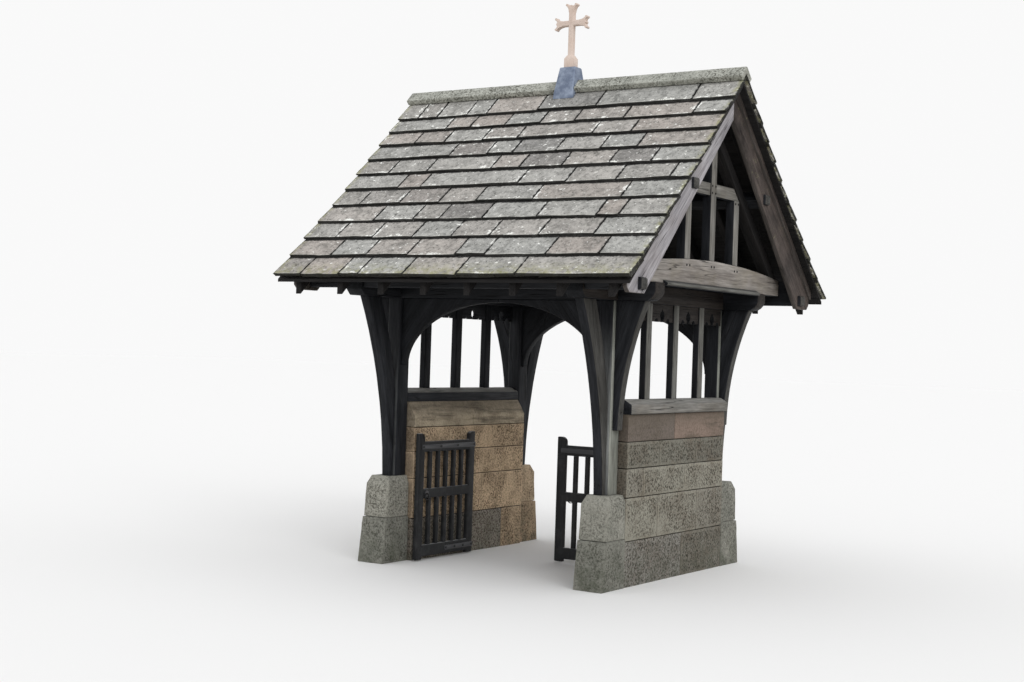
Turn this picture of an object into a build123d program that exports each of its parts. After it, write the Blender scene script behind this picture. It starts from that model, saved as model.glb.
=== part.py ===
from build123d import *
import math
import os

# A timber lychgate on stone bases. Millimetres, +Z up, origin on the ground at the middle.
# X runs along the ridge, Y runs along the passage, and the right leaf is shut while the left one stands open.

# Head of the posts, which carries every level above it
POST_TOP = 2495

# Roof form
PITCH_DEG = 43.5
QUARTER_TURN = 90
ROOF_HALF_LENGTH = 1886
EAVE_REACH = 2044
ROOF_RISE = 2110
SLATE_TAIL = 22
SLATE_BED = 65
SLATE_SAG = 45
COURSES = 11
TOP_COURSE_TAIL = 247
TOP_GAUGE_SHARE = 0.72
BOARD_THICKNESS = 20
BOARD_EDGE_SETBACK = 26
EAVE_BOARD_SETBACK = 50
RIDGE_STONE_THICKNESS = 58
RIDGE_STONE_REACH = 71
RIDGE_STONE_COUNT = 7
RIDGE_END_STONE = 708
RIDGE_JOINT = 4
RIDGE_ROUNDING = 26

# Common rafters, purlins and ridge board
RAFTER_DEPTH = 122
RAFTER_WIDTH = 65
RAFTER_PITCH = 467
END_RAFTER_SETBACK = 110
RAFTER_FOOT = 1930
RIDGE_BOARD_THICKNESS = 30
RIDGE_BOARD_GAP = 0.3
PURLIN_DEPTH = 112
PURLIN_WIDTH = 110
PURLIN_OFFSET = 710
PURLIN_BLOCK_SIZE = 92
END_BLOCK_PROUD = 36

# Gable trusses
TRUSS_SETBACK = 163
TRUSS_THICKNESS = 107
PRINCIPAL_DEPTH = 98
APEX_JOINT = 1
TIE_HALF_LENGTH = 1490
TIE_CROWN = 250
TIE_END = 150
STRUT_OFFSET = 490
STRUT_WIDTH = 105
STRUT_SETBACK = 10
COLLAR_DEPTH = 112
COLLAR_RISE = 1005
DRIP_HEIGHT = 34
DRIP_PROJECTION = 48
DRIP_END_GAP = 6

# Bargeboards
VERGE_OVERHANG = 116
BARGE_THICKNESS = 45
BARGE_TOP_DEPTH = 220
BARGE_FOOT_DEPTH = 325
BARGE_FOOT_OUTER = 1830
BARGE_FOOT_WIDTH = 245
BARGE_HEEL = 45
BARGE_NIB = 40
BARGE_CAP_DEPTH = 50
BARGE_CAP_PROUD = 25
BLOCK_CHAMFER = 14

# Posts, plates and cross beams
POST_INNER = 1085
POST_WIDTH = 145
POST_DEPTH = 170
POST_CHAMFER = 12
BEAM_DEPTH = 160
CROSS_BEAM_WIDTH = 180
CROSS_BEAM_HALF_LENGTH = 1720
PLATE_END_SETBACK = 140
EAVES_PLATE_WIDTH = 100
EAVES_PLATE_OFFSET = 1645
EAVES_PLATE_RISE = 70
COG_DEPTH = 35

# Curved braces
BRACE_THICKNESS = 95
BRACE_CHAMFER = 10
ARCH_CROWN_DROP = 32
ARCH_SPRING_DROP = 635
ARCH_TOE = 24
ARCH_JOINT = 3
GABLE_BRACE_DROP = 1125
GABLE_BRACE_TOE = 55
GABLE_BRACE_SETBACK = 105
GABLE_BRACE_SAG = 58
EAVE_BRACE_FOOT_PROUD = 52
EAVE_BRACE_REACH = 1600
EAVE_BRACE_HEAD = 210
EAVE_BRACE_SAG = 95
EAVE_BRACE_DROP = 895

# Masonry
PASSAGE_HALF = 1000
WALL_THICKNESS = 315
WALL_HALF_LENGTH = 960
WALL_HEIGHT = 1508
WALL_SLOPE_DROP = 138
WALL_SLOPE_IN = 85
BASE_INNER = 1047
BASE_WIDTH = 268
BASE_HEIGHT = 810
BASE_JOINT_LEVEL = 425
BASE_PLINTH = 8
BASE_CHAMFER_HEIGHT = 75
BASE_CHAMFER_SIDE = 28
BASE_FOOT_Y = 1350
BASE_JOINT_Y = 1297
BASE_SHOULDER_Y = 1264
BASE_TOP_Y = 1224

# Side screens
SILL_OUTER = 1345
SILL_EDGE = 86
SILL_CROWN = 127
SILL_NOSE = 16
MULLION_INNER = 1190
MULLION_THICKNESS = 70
MULLION_WIDTH = 100
MULLION_SPACING = 520
MULLION_CHAMFER = 9
HEAD_BOARD_DEPTH = 160
HEAD_BOARD_THICKNESS = 40
KEYHOLE_RADIUS = 42
KEYHOLE_RISE = 78
KEYHOLE_NECK = 26
SIDE_CUT_RADIUS = 30
SIDE_CUT_OFFSET = 110

# Gate leaves
HINGE_X = 975
HINGE_Y = -45
LEAF_HEEL = 25
LEAF_LENGTH = 925
LEAF_THICKNESS = 44
LEAF_BOTTOM = 14
STILE_TOP = 1215
STILE_WIDTH = 95
STILE_ROUNDING = 50
TOP_RAIL_FOOT = 1037
TOP_RAIL_DEPTH = 98
MID_RAIL_FOOT = 595
MID_RAIL_DEPTH = 90
BOTTOM_RAIL_FOOT = 42
BOTTOM_RAIL_DEPTH = 108
PICKET_COUNT = 5
PICKET_WIDTH = 42
PICKET_THICKNESS = 22
STRAP_WIDTH = 44
STRAP_THICKNESS = 6
TOP_STRAP_LENGTH = 880
BOTTOM_STRAP_LENGTH = 470
PIN_RADIUS = 8
PIN_CLEARANCE = 0.4
EYE_THICKNESS = 6
PIN_LENGTH = 74
PINTLE_ARM = 22
BOLT_RADIUS = 12
BOLT_SIDES = 8
BOLT_HEIGHT = 6
BOLT_COUNT = 4
RING_RADIUS = 36
RING_BAR = 8
RING_PLATE_RADIUS = 30
KNOB_RADIUS = 9
LATCH_LEVEL = 640
LATCH_INSET = 42

# Finial
FINIAL_OFFSET = 22
SADDLE_RISE = 179
SADDLE_TOP_LENGTH = 172
SADDLE_FOOT_LENGTH = 228
SADDLE_TOP_HALF = 64
SADDLE_SHOULDER = 14
SADDLE_EDGE = 6
SADDLE_CLEAR = 9
SADDLE_FOOT_HALF = 127
FINIAL_BLOCK_WIDTH = 98
FINIAL_BLOCK_HEIGHT = 120
FINIAL_SLOPE_HEIGHT = 35
FINIAL_SLOPE_IN = 20
CROSS_HEIGHT = 621
CROSS_ARM_DROP = 190
CROSS_ARM_REACH = 181
CROSS_THICKNESS = 56
CROSS_BAR_HALF = 27
CROSS_CHAMFER = 8
CROSS_FLARE_HALF = 62
CROSS_FLARE_LENGTH = 84
CROSS_FLARE_SAG = 9
CROSS_MOUTH_DEPTH = 27
HORN_RADIUS = 12
BUD_RADIUS = 13

SLOPE = math.tan(math.radians(PITCH_DEG))
RISE = 1 / math.cos(math.radians(PITCH_DEG))
SIN_PITCH = math.sin(math.radians(PITCH_DEG))
COS_PITCH = math.cos(math.radians(PITCH_DEG))

# Each roof layer is a line Z = level - SLOPE * Y, named by its level over the middle of the roof.
SLATE_LINE = POST_TOP + ROOF_RISE
SLATE_SEAT = SLATE_LINE - SLATE_BED * RISE
BOARD_SEAT = SLATE_SEAT - BOARD_THICKNESS * RISE
RAFTER_SEAT = BOARD_SEAT - RAFTER_DEPTH * RISE
PURLIN_SEAT = RAFTER_SEAT - PURLIN_DEPTH * RISE
RIDGE_SEAT = SLATE_LINE - SLATE_TAIL * RISE / 2
RIDGE_CREST = RIDGE_SEAT + RIDGE_STONE_THICKNESS * RISE
PRINCIPAL_SEAT = PURLIN_SEAT - PRINCIPAL_DEPTH * RISE
BARGE_TOP_EDGE = BOARD_SEAT - BARGE_TOP_DEPTH * RISE
BARGE_FOOT_EDGE = BOARD_SEAT - BARGE_FOOT_DEPTH * RISE
COLLAR_LEVEL = POST_TOP + COLLAR_RISE
EAVES_PLATE_BOTTOM = POST_TOP + EAVES_PLATE_RISE
ARCH_SPRING = POST_TOP - ARCH_SPRING_DROP
GABLE_BRACE_FOOT = POST_TOP - GABLE_BRACE_DROP
EAVE_BRACE_LEAVE = POST_TOP - EAVE_BRACE_DROP
SADDLE_TOP = SLATE_LINE + SADDLE_RISE
CROSS_TOP = SADDLE_TOP + CROSS_HEIGHT
CROSS_ARM_LEVEL = CROSS_TOP - CROSS_ARM_DROP
BARGE_FACE = ROOF_HALF_LENGTH - VERGE_OVERHANG
BARGE_BACK = BARGE_FACE - BARGE_THICKNESS
BEAM_END_REACH = BARGE_FACE + END_BLOCK_PROUD
END_RAFTER_X = BARGE_FACE - END_RAFTER_SETBACK
TRUSS_FACE = BARGE_FACE - TRUSS_SETBACK
PLATE_END_REACH = BARGE_FACE - PLATE_END_SETBACK
GABLE_BRACE_REACH = PLATE_END_REACH - GABLE_BRACE_SETBACK
BEAM_TOP = POST_TOP + BEAM_DEPTH
POST_OUTER = POST_INNER + POST_WIDTH
POST_BACK = WALL_HALF_LENGTH
POST_FRONT = WALL_HALF_LENGTH + POST_DEPTH
POST_MIDDLE = (POST_BACK + POST_FRONT) / 2
BRACE_MIDDLE_X = (POST_INNER + POST_OUTER) / 2
WALL_OUTER = PASSAGE_HALF + WALL_THICKNESS
SILL_INNER = PASSAGE_HALF + WALL_SLOPE_IN
SILL_TOP = WALL_HEIGHT + SILL_CROWN
TOP_RAIL_TOP = TOP_RAIL_FOOT + TOP_RAIL_DEPTH
MID_RAIL_TOP = MID_RAIL_FOOT + MID_RAIL_DEPTH
BOTTOM_RAIL_TOP = BOTTOM_RAIL_FOOT + BOTTOM_RAIL_DEPTH
RAILS = ((TOP_RAIL_FOOT, TOP_RAIL_TOP), (MID_RAIL_FOOT, MID_RAIL_TOP), (BOTTOM_RAIL_FOOT, BOTTOM_RAIL_TOP))
TOP_STRAP_LEVEL = (TOP_RAIL_FOOT + TOP_RAIL_TOP) / 2
BOTTOM_STRAP_LEVEL = (BOTTOM_RAIL_FOOT + BOTTOM_RAIL_TOP) / 2
STRAPS = ((TOP_STRAP_LENGTH, TOP_STRAP_LEVEL), (BOTTOM_STRAP_LENGTH, BOTTOM_STRAP_LEVEL))
SIDES = {"left": -1, "right": 1}
ENDS = {"front": -1, "back": 1}


def on_slope(level, y):
    """Height of a roof layer at a distance from the ridge."""
    return level - SLOPE * abs(y)


def slate_top(y):
    """Height of the slates at a distance from the ridge, a little hollow between ridge and eave."""
    return on_slope(SLATE_LINE, y) - SLATE_SAG * math.sin(math.pi * y / EAVE_REACH)


def block(x_range, y_range, z_range):
    """A squared piece between three pairs of limits."""
    size = [high - low for low, high in (x_range, y_range, z_range)]
    middle = [(high + low) / 2 for low, high in (x_range, y_range, z_range)]
    return Pos(*middle) * Box(*size)


def along_x(profile, start, end):
    """Extrude a face drawn as (Y, Z) from one X to another."""
    placed = Plane(origin=(start, 0, 0), x_dir=(0, 1, 0), z_dir=(1, 0, 0)) * profile
    return extrude(placed, amount=end - start, dir=(1, 0, 0))


def along_y(profile, start, end):
    """Extrude a face drawn as (X, Z) from one Y to another."""
    placed = Plane(origin=(0, start, 0), x_dir=(1, 0, 0), z_dir=(0, -1, 0)) * profile
    return extrude(placed, amount=end - start, dir=(0, 1, 0))


def outline(*points):
    """A closed face with straight sides."""
    return make_face(Polyline(*points, close=True))


def to_side(piece, side):
    """The piece on the right, or its mirror on the left."""
    return piece if side > 0 else mirror(piece, about=Plane.YZ)


def to_end(piece, end):
    """The piece at the back, or its mirror at the front."""
    return piece if end > 0 else mirror(piece, about=Plane.XZ)


def save(name, *pieces):
    """Write one node, as one solid or as several that stand apart."""
    solids = [solid for piece in pieces for solid in piece.solids()]
    node = solids[0] if len(solids) == 1 else Compound(children=solids)
    node.label = name
    export_step(node, f"parts/{name}.step")


# Masonry pieces
def post_base():
    """Two battered courses with a chamfered head, at the back right."""
    side_view = outline(
        (WALL_HALF_LENGTH, 0), (BASE_FOOT_Y, 0), (BASE_JOINT_Y, BASE_JOINT_LEVEL),
        (BASE_JOINT_Y - BASE_PLINTH, BASE_JOINT_LEVEL),
        (BASE_SHOULDER_Y, BASE_HEIGHT - BASE_CHAMFER_HEIGHT),
        (BASE_TOP_Y, BASE_HEIGHT), (WALL_HALF_LENGTH, BASE_HEIGHT))
    inner, outer = BASE_INNER, BASE_INNER + BASE_WIDTH
    shoulder = BASE_HEIGHT - BASE_CHAMFER_HEIGHT
    front_view = outline(
        (inner - BASE_PLINTH, 0), (outer + BASE_PLINTH, 0),
        (outer + BASE_PLINTH, BASE_JOINT_LEVEL), (outer, BASE_JOINT_LEVEL),
        (outer, shoulder), (outer - BASE_CHAMFER_SIDE, BASE_HEIGHT),
        (inner + BASE_CHAMFER_SIDE, BASE_HEIGHT), (inner, shoulder),
        (inner, BASE_JOINT_LEVEL), (inner - BASE_PLINTH, BASE_JOINT_LEVEL))
    across = along_x(side_view, inner - 2 * BASE_PLINTH, outer + 2 * BASE_PLINTH)
    return across & along_y(front_view, 0, 2 * BASE_FOOT_Y)


def side_wall():
    """The dwarf wall between two posts, sloped inwards at its head."""
    section = outline(
        (PASSAGE_HALF, 0), (WALL_OUTER, 0), (WALL_OUTER, WALL_HEIGHT), (SILL_INNER, WALL_HEIGHT),
        (PASSAGE_HALF, WALL_HEIGHT - WALL_SLOPE_DROP))
    return along_y(section, -WALL_HALF_LENGTH, WALL_HALF_LENGTH)


# Side screens
def sill():
    """The weathered timber sill with a rounded nose outside."""
    flat_start = MULLION_INNER - SILL_NOSE
    flat_end = MULLION_INNER + MULLION_THICKNESS + SILL_NOSE
    edge = WALL_HEIGHT + SILL_EDGE
    section = outline(
        (SILL_INNER, WALL_HEIGHT), (SILL_OUTER, WALL_HEIGHT), (SILL_OUTER, edge),
        (flat_end, SILL_TOP), (flat_start, SILL_TOP), (SILL_INNER, edge))
    nose = section.vertices().group_by(Axis.X)[-1]
    section = fillet(nose, SILL_NOSE)
    return along_y(section, -WALL_HALF_LENGTH, WALL_HALF_LENGTH)


def mullions():
    """Three mullions from the sill to the cross beam."""
    outer = MULLION_INNER + MULLION_THICKNESS
    stick = block((MULLION_INNER, outer), (-MULLION_WIDTH / 2, MULLION_WIDTH / 2), (SILL_TOP, POST_TOP))
    stick = chamfer(stick.edges().filter_by(Axis.Z), MULLION_CHAMFER)
    return [Pos(0, step * MULLION_SPACING, 0) * stick for step in (-1, 0, 1)]


def head_board(start, end):
    """The cut head of one light, with a tall keyhole between two small round cuts."""
    middle = (start + end) / 2
    foot = POST_TOP - HEAD_BOARD_DEPTH
    face = outline((start, foot), (end, foot), (end, POST_TOP), (start, POST_TOP))
    face -= Pos(middle, foot + KEYHOLE_RISE - KEYHOLE_RADIUS / 2) * Circle(KEYHOLE_RADIUS)
    face -= Pos(middle, foot) * Rectangle(2 * KEYHOLE_NECK, 2 * (KEYHOLE_RISE - KEYHOLE_RADIUS))
    point = foot + KEYHOLE_RISE + KEYHOLE_RADIUS
    shoulder = foot + KEYHOLE_RISE
    face -= outline((middle - KEYHOLE_NECK, shoulder), (middle + KEYHOLE_NECK, shoulder), (middle, point))
    for side in (-1, 1):
        face -= Pos(middle + side * SIDE_CUT_OFFSET, foot) * Circle(SIDE_CUT_RADIUS)
    inner = MULLION_INNER + (MULLION_THICKNESS - HEAD_BOARD_THICKNESS) / 2
    return along_x(face, inner, inner + HEAD_BOARD_THICKNESS)


def head_boards():
    """The four cut heads between the posts and the mullions."""
    half = MULLION_WIDTH / 2
    middles = [step * MULLION_SPACING for step in (-1, 0, 1)]
    starts = [-WALL_HALF_LENGTH] + [middle + half for middle in middles]
    ends = [middle - half for middle in middles] + [WALL_HALF_LENGTH]
    return [head_board(start, end) for start, end in zip(starts, ends)]


# Posts and beams
def post():
    """One squared post with chamfered arrises, at the back right."""
    stick = block((POST_INNER, POST_OUTER), (POST_BACK, POST_FRONT), (BASE_HEIGHT, POST_TOP))
    return chamfer(stick.edges().filter_by(Axis.Z), POST_CHAMFER)


def cross_beam():
    """The beam along the passage, halved for the plates and cogged for the eaves plates."""
    x_range = (POST_INNER, POST_INNER + CROSS_BEAM_WIDTH)
    beam = block(x_range, (-CROSS_BEAM_HALF_LENGTH, CROSS_BEAM_HALF_LENGTH), (POST_TOP, BEAM_TOP))
    beam = chamfer(beam.edges().group_by(Axis.Z)[0].filter_by(Axis.X), BEAM_DEPTH / 3)
    eaves_half = EAVES_PLATE_WIDTH / 2
    for end in (-1, 1):
        plate = sorted((end * POST_BACK, end * POST_FRONT))
        beam -= block(x_range, plate, (POST_TOP + BEAM_DEPTH / 2, BEAM_TOP))
        eaves = (end * EAVES_PLATE_OFFSET - eaves_half, end * EAVES_PLATE_OFFSET + eaves_half)
        beam -= block(x_range, eaves, (EAVES_PLATE_BOTTOM + COG_DEPTH, BEAM_TOP))
    return beam


def wall_plate():
    """The plate along the roof, halved over the cross beams, with shaped ends, at the back."""
    step = BEAM_DEPTH / 4
    start = (PLATE_END_REACH, POST_TOP + 2 * step)
    end = (PLATE_END_REACH - 2 * step, POST_TOP)
    ogee = Line((0, POST_TOP), end) + RadiusArc(end, start, -3 * step)
    ogee += Polyline(start, (PLATE_END_REACH, BEAM_TOP), (0, BEAM_TOP), (0, POST_TOP))
    half = along_y(make_face(ogee), POST_BACK, POST_FRONT)
    half -= block((POST_INNER, POST_INNER + CROSS_BEAM_WIDTH), (POST_BACK, POST_FRONT),
                  (POST_TOP, POST_TOP + BEAM_DEPTH / 2))
    return half + mirror(half, about=Plane.YZ)


def eaves_plate():
    """The outer plate under the rafter feet, with its end blocks past the bargeboards."""
    inner = EAVES_PLATE_OFFSET - EAVES_PLATE_WIDTH / 2
    outer = EAVES_PLATE_OFFSET + EAVES_PLATE_WIDTH / 2
    section = outline(
        (inner, EAVES_PLATE_BOTTOM), (outer, EAVES_PLATE_BOTTOM),
        (outer, on_slope(RAFTER_SEAT, outer)), (inner, on_slope(RAFTER_SEAT, inner)))
    plate = along_x(section, -BARGE_BACK, BARGE_BACK)
    for side in (-1, 1):
        reach = sorted((side * BARGE_BACK, side * BEAM_END_REACH))
        plate += block(reach, (inner, outer), (EAVES_PLATE_BOTTOM, EAVES_PLATE_BOTTOM + EAVES_PLATE_WIDTH))
        notch = sorted((side * POST_INNER, side * (POST_INNER + CROSS_BEAM_WIDTH)))
        plate -= block(notch, (inner, outer), (EAVES_PLATE_BOTTOM, EAVES_PLATE_BOTTOM + COG_DEPTH))
    tips = plate.edges().filter_by(Axis.Y).group_by(Axis.X)
    return chamfer(tips[0] + tips[-1], BLOCK_CHAMFER)


# Curved braces
def ease_curve(brace):
    """Chamfer both arrises of the long curve under a brace."""
    curves = [edge for edge in brace.edges() if edge.geom_type != GeomType.LINE]
    return chamfer(sorted(curves, key=lambda edge: edge.length)[-2:], BRACE_CHAMFER)


def arch_brace():
    """Half of the flat arch under a plate, solid from its curve up to the plate, at the back right."""
    crown = POST_TOP - ARCH_CROWN_DROP
    toe = POST_INNER - ARCH_TOE
    curve = EllipticalCenterArc((0, ARCH_SPRING), toe, crown - ARCH_SPRING, arc_size=QUARTER_TURN)
    sides = Polyline((0, crown), (0, POST_TOP), (POST_INNER, POST_TOP), (POST_INNER, ARCH_SPRING),
                     (toe, ARCH_SPRING))
    spandrel = make_face(curve + sides)
    piece = along_y(spandrel, POST_MIDDLE - BRACE_THICKNESS / 2, POST_MIDDLE + BRACE_THICKNESS / 2)
    return ease_curve(piece - block((0, ARCH_JOINT / 2), (0, 2 * POST_FRONT), (0, CROSS_TOP)))


def gable_brace():
    """The solid curved knee from a post out to the end of a wall plate, at the back right."""
    foot = (POST_OUTER, GABLE_BRACE_FOOT)
    toe = (POST_OUTER + GABLE_BRACE_TOE, GABLE_BRACE_FOOT)
    head = (GABLE_BRACE_REACH, POST_TOP)
    lower = SagittaArc(toe, head, GABLE_BRACE_SAG)
    rest = Polyline(head, (POST_OUTER, POST_TOP), foot, toe)
    knee = along_y(make_face(lower + rest), POST_MIDDLE - BRACE_THICKNESS / 2, POST_MIDDLE + BRACE_THICKNESS / 2)
    return ease_curve(knee)


def eave_brace():
    """The long curved brace from the foot of a post out to the end of a cross beam, at the back right."""
    foot = (POST_FRONT, BASE_HEIGHT)
    toe = (POST_FRONT + EAVE_BRACE_FOOT_PROUD, BASE_HEIGHT)
    head = (EAVE_BRACE_REACH, POST_TOP)
    back = (EAVE_BRACE_REACH - EAVE_BRACE_HEAD, POST_TOP)
    leave = (POST_FRONT, EAVE_BRACE_LEAVE)
    lower = SagittaArc(toe, head, EAVE_BRACE_SAG)
    upper = SagittaArc(back, leave, -EAVE_BRACE_SAG / 3)
    shape = make_face(Line(foot, toe) + lower + Line(head, back) + upper + Line(leave, foot))
    brace = along_x(shape, BRACE_MIDDLE_X - BRACE_THICKNESS / 2, BRACE_MIDDLE_X + BRACE_THICKNESS / 2)
    return ease_curve(brace)


# Gable trusses
def tie_face():
    """The face of a cambered tie beam, level below and arched above."""
    foot = Polyline((-TIE_HALF_LENGTH, BEAM_TOP + TIE_END), (-TIE_HALF_LENGTH, BEAM_TOP),
                    (TIE_HALF_LENGTH, BEAM_TOP), (TIE_HALF_LENGTH, BEAM_TOP + TIE_END))
    camber = ThreePointArc((TIE_HALF_LENGTH, BEAM_TOP + TIE_END), (0, BEAM_TOP + TIE_CROWN),
                           (-TIE_HALF_LENGTH, BEAM_TOP + TIE_END))
    return make_face(foot + camber)


def truss_limits(setback=0):
    """The X limits of a truss member, set back from the faces of the truss."""
    return TRUSS_FACE - TRUSS_THICKNESS + setback, TRUSS_FACE - setback


def principal_rafters():
    """The pair of principal rafters that stand on the tie and meet at the apex."""
    foot = TIE_HALF_LENGTH
    tie = tie_face()
    pair = []
    for side in (-1, 1):
        near = side * APEX_JOINT / 2
        far = side * (foot + PRINCIPAL_DEPTH)
        face = outline(
            (near, on_slope(PRINCIPAL_SEAT, near)), (near, on_slope(PURLIN_SEAT, near)),
            (far, on_slope(PURLIN_SEAT, far)), (far, on_slope(PRINCIPAL_SEAT, far)))
        face -= tie
        face -= outline((0, 0), (2 * far, 0), (2 * far, BEAM_TOP + TIE_END), (0, BEAM_TOP + TIE_END))
        pair.append(along_x(face, *truss_limits()))
    return pair


def centre_strut():
    """The middle strut, from the tie up to the fork of the principals."""
    half = STRUT_WIDTH / 2
    face = outline(
        (-half, BEAM_TOP), (half, BEAM_TOP), (half, on_slope(PRINCIPAL_SEAT, half)),
        (0, on_slope(PRINCIPAL_SEAT, 0)), (-half, on_slope(PRINCIPAL_SEAT, half)))
    face -= tie_face()
    strut = along_x(face, *truss_limits(STRUT_SETBACK))
    low, high = truss_limits()
    return strut - block((low, (low + high) / 2), (-half, half), (COLLAR_LEVEL, COLLAR_LEVEL + COLLAR_DEPTH))


def side_struts():
    """The two struts from the tie up to the collar."""
    pair = []
    for side in (-1, 1):
        middle = side * STRUT_OFFSET
        start, end = middle - STRUT_WIDTH / 2, middle + STRUT_WIDTH / 2
        face = outline((start, BEAM_TOP), (end, BEAM_TOP), (end, COLLAR_LEVEL), (start, COLLAR_LEVEL))
        pair.append(along_x(face - tie_face(), *truss_limits(STRUT_SETBACK)))
    return pair


def collar():
    """The short collar between the principals, halved behind the middle strut."""
    top = COLLAR_LEVEL + COLLAR_DEPTH
    low_reach = (PRINCIPAL_SEAT - COLLAR_LEVEL) / SLOPE
    top_reach = (PRINCIPAL_SEAT - top) / SLOPE
    face = outline((-low_reach, COLLAR_LEVEL), (low_reach, COLLAR_LEVEL), (top_reach, top), (-top_reach, top))
    beam = along_x(face, *truss_limits(2 * STRUT_SETBACK))
    low, high = truss_limits()
    half = STRUT_WIDTH / 2
    return beam - block(((low + high) / 2, high), (-half, half), (COLLAR_LEVEL, top))


def drip_board():
    """The moulded board along the foot of a tie, sloped above and hollowed below."""
    top = BEAM_TOP + DRIP_HEIGHT / 3
    foot = top - DRIP_HEIGHT
    nose = TRUSS_FACE + DRIP_PROJECTION
    hollow = RadiusArc((nose, foot + DRIP_HEIGHT / 3), (TRUSS_FACE, foot), DRIP_PROJECTION)
    rest = Polyline((TRUSS_FACE, foot), (TRUSS_FACE, top + DRIP_HEIGHT / 2), (nose, top - DRIP_HEIGHT / 4),
                    (nose, foot + DRIP_HEIGHT / 3))
    reach = POST_BACK - DRIP_END_GAP
    return along_y(make_face(hollow + rest), -reach, reach)


# Roof
def purlin_face():
    """The canted face of a purlin at the back."""
    along = Vector(COS_PITCH, -SIN_PITCH) * (PURLIN_WIDTH / 2)
    out = Vector(SIN_PITCH, COS_PITCH) * PURLIN_DEPTH
    seat = Vector(PURLIN_OFFSET, on_slope(PURLIN_SEAT, PURLIN_OFFSET))
    corners = (seat - along, seat + along, seat + along + out, seat - along + out)
    return outline(*[(corner.X, corner.Y) for corner in corners])


def purlin_block():
    """The upright square that a purlin is cut down to where it passes a bargeboard."""
    middle = purlin_face().center()
    return Pos(middle.X, middle.Y) * Rectangle(PURLIN_BLOCK_SIZE, PURLIN_BLOCK_SIZE)


def purlin():
    """One purlin at the back, with square chamfered blocks past the bargeboards."""
    beam = along_x(purlin_face(), -BARGE_BACK, BARGE_BACK)
    for side in (-1, 1):
        beam += along_x(purlin_block(), *sorted((side * BARGE_BACK, side * BEAM_END_REACH)))
    tips = beam.faces().filter_by(Axis.X).sort_by(Axis.X)
    return chamfer(tips[0].edges() + tips[-1].edges(), BLOCK_CHAMFER)


def ridge_board():
    """The upright board that the rafters meet on."""
    half = RIDGE_BOARD_THICKNESS / 2
    top = on_slope(BOARD_SEAT, half)
    return block((-BARGE_BACK, BARGE_BACK), (-half, half), (PURLIN_SEAT, top))


def rafters():
    """The common rafters of the back slope."""
    start = RIDGE_BOARD_THICKNESS / 2 + RIDGE_BOARD_GAP
    face = outline(
        (start, on_slope(RAFTER_SEAT, start)), (start, on_slope(BOARD_SEAT, start)),
        (RAFTER_FOOT, on_slope(BOARD_SEAT, RAFTER_FOOT)), (RAFTER_FOOT, on_slope(RAFTER_SEAT, RAFTER_FOOT)))
    stick = along_x(face, -RAFTER_WIDTH / 2, RAFTER_WIDTH / 2)
    spacings = [RAFTER_PITCH / 2, RAFTER_PITCH * 3 / 2, RAFTER_PITCH * 5 / 2, END_RAFTER_X]
    places = [side * spacing for side in (-1, 1) for spacing in spacings]
    return [Pos(place, 0, 0) * stick for place in places]


def roof_boards():
    """The boarding of the back slope."""
    half = ROOF_HALF_LENGTH - BOARD_EDGE_SETBACK
    foot = EAVE_REACH - EAVE_BOARD_SETBACK
    near = APEX_JOINT / 2
    face = outline(
        (near, on_slope(BOARD_SEAT, near)), (near, on_slope(SLATE_SEAT, near)),
        (foot, on_slope(SLATE_SEAT, foot)), (foot, on_slope(BOARD_SEAT, foot)))
    return along_x(face, -half, half)


def course_tails():
    """Distances of the slate tails from the ridge, in gauges that grow towards the eave."""
    count = COURSES - 1
    total = EAVE_REACH - TOP_COURSE_TAIL
    weights = [TOP_GAUGE_SHARE + (1 - TOP_GAUGE_SHARE) * step / (count - 1) for step in range(count)]
    scale = total / sum(weights)
    tails = [TOP_COURSE_TAIL]
    for weight in weights:
        tails.append(tails[-1] + weight * scale)
    return tails


def slates():
    """The back slope of slates as one stepped body, course over course."""
    near = APEX_JOINT / 2
    points = [(near, on_slope(SLATE_SEAT, near)), (near, on_slope(RIDGE_SEAT, near)),
              (RIDGE_STONE_REACH, on_slope(RIDGE_SEAT, RIDGE_STONE_REACH))]
    tails = course_tails()
    for tail, drop in [(tail, SLATE_TAIL) for tail in tails[:-1]] + [(tails[-1], SLATE_BED)]:
        points.append((tail, slate_top(tail)))
        points.append((tail - drop * SIN_PITCH, slate_top(tail) - drop * COS_PITCH))
    return along_x(outline(*points), -ROOF_HALF_LENGTH, ROOF_HALF_LENGTH)


def ridge_face():
    """The angled face of a ridge stone, bedded on the top courses."""
    reach = RIDGE_STONE_REACH
    tip = reach + RIDGE_STONE_THICKNESS * SIN_PITCH
    face = outline(
        (0, RIDGE_SEAT), (reach, on_slope(RIDGE_SEAT, reach)), (tip, on_slope(RIDGE_CREST, tip)), (0, RIDGE_CREST),
        (-tip, on_slope(RIDGE_CREST, tip)), (-reach, on_slope(RIDGE_SEAT, reach)))
    return fillet(face.vertices().sort_by(Axis.Y)[-1], RIDGE_ROUNDING)


def ridge_stones():
    """The row of ridge stones with narrow joints, ending in a longer stone on the right."""
    gap = RIDGE_JOINT / 2
    pitch = (2 * ROOF_HALF_LENGTH - RIDGE_END_STONE) / (RIDGE_STONE_COUNT - 1)
    joints = [number * pitch - ROOF_HALF_LENGTH for number in range(1, RIDGE_STONE_COUNT)]
    limits = [-ROOF_HALF_LENGTH - gap, *joints, ROOF_HALF_LENGTH + gap]
    return [along_x(ridge_face(), start + gap, end - gap) for start, end in zip(limits, limits[1:])]


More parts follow.
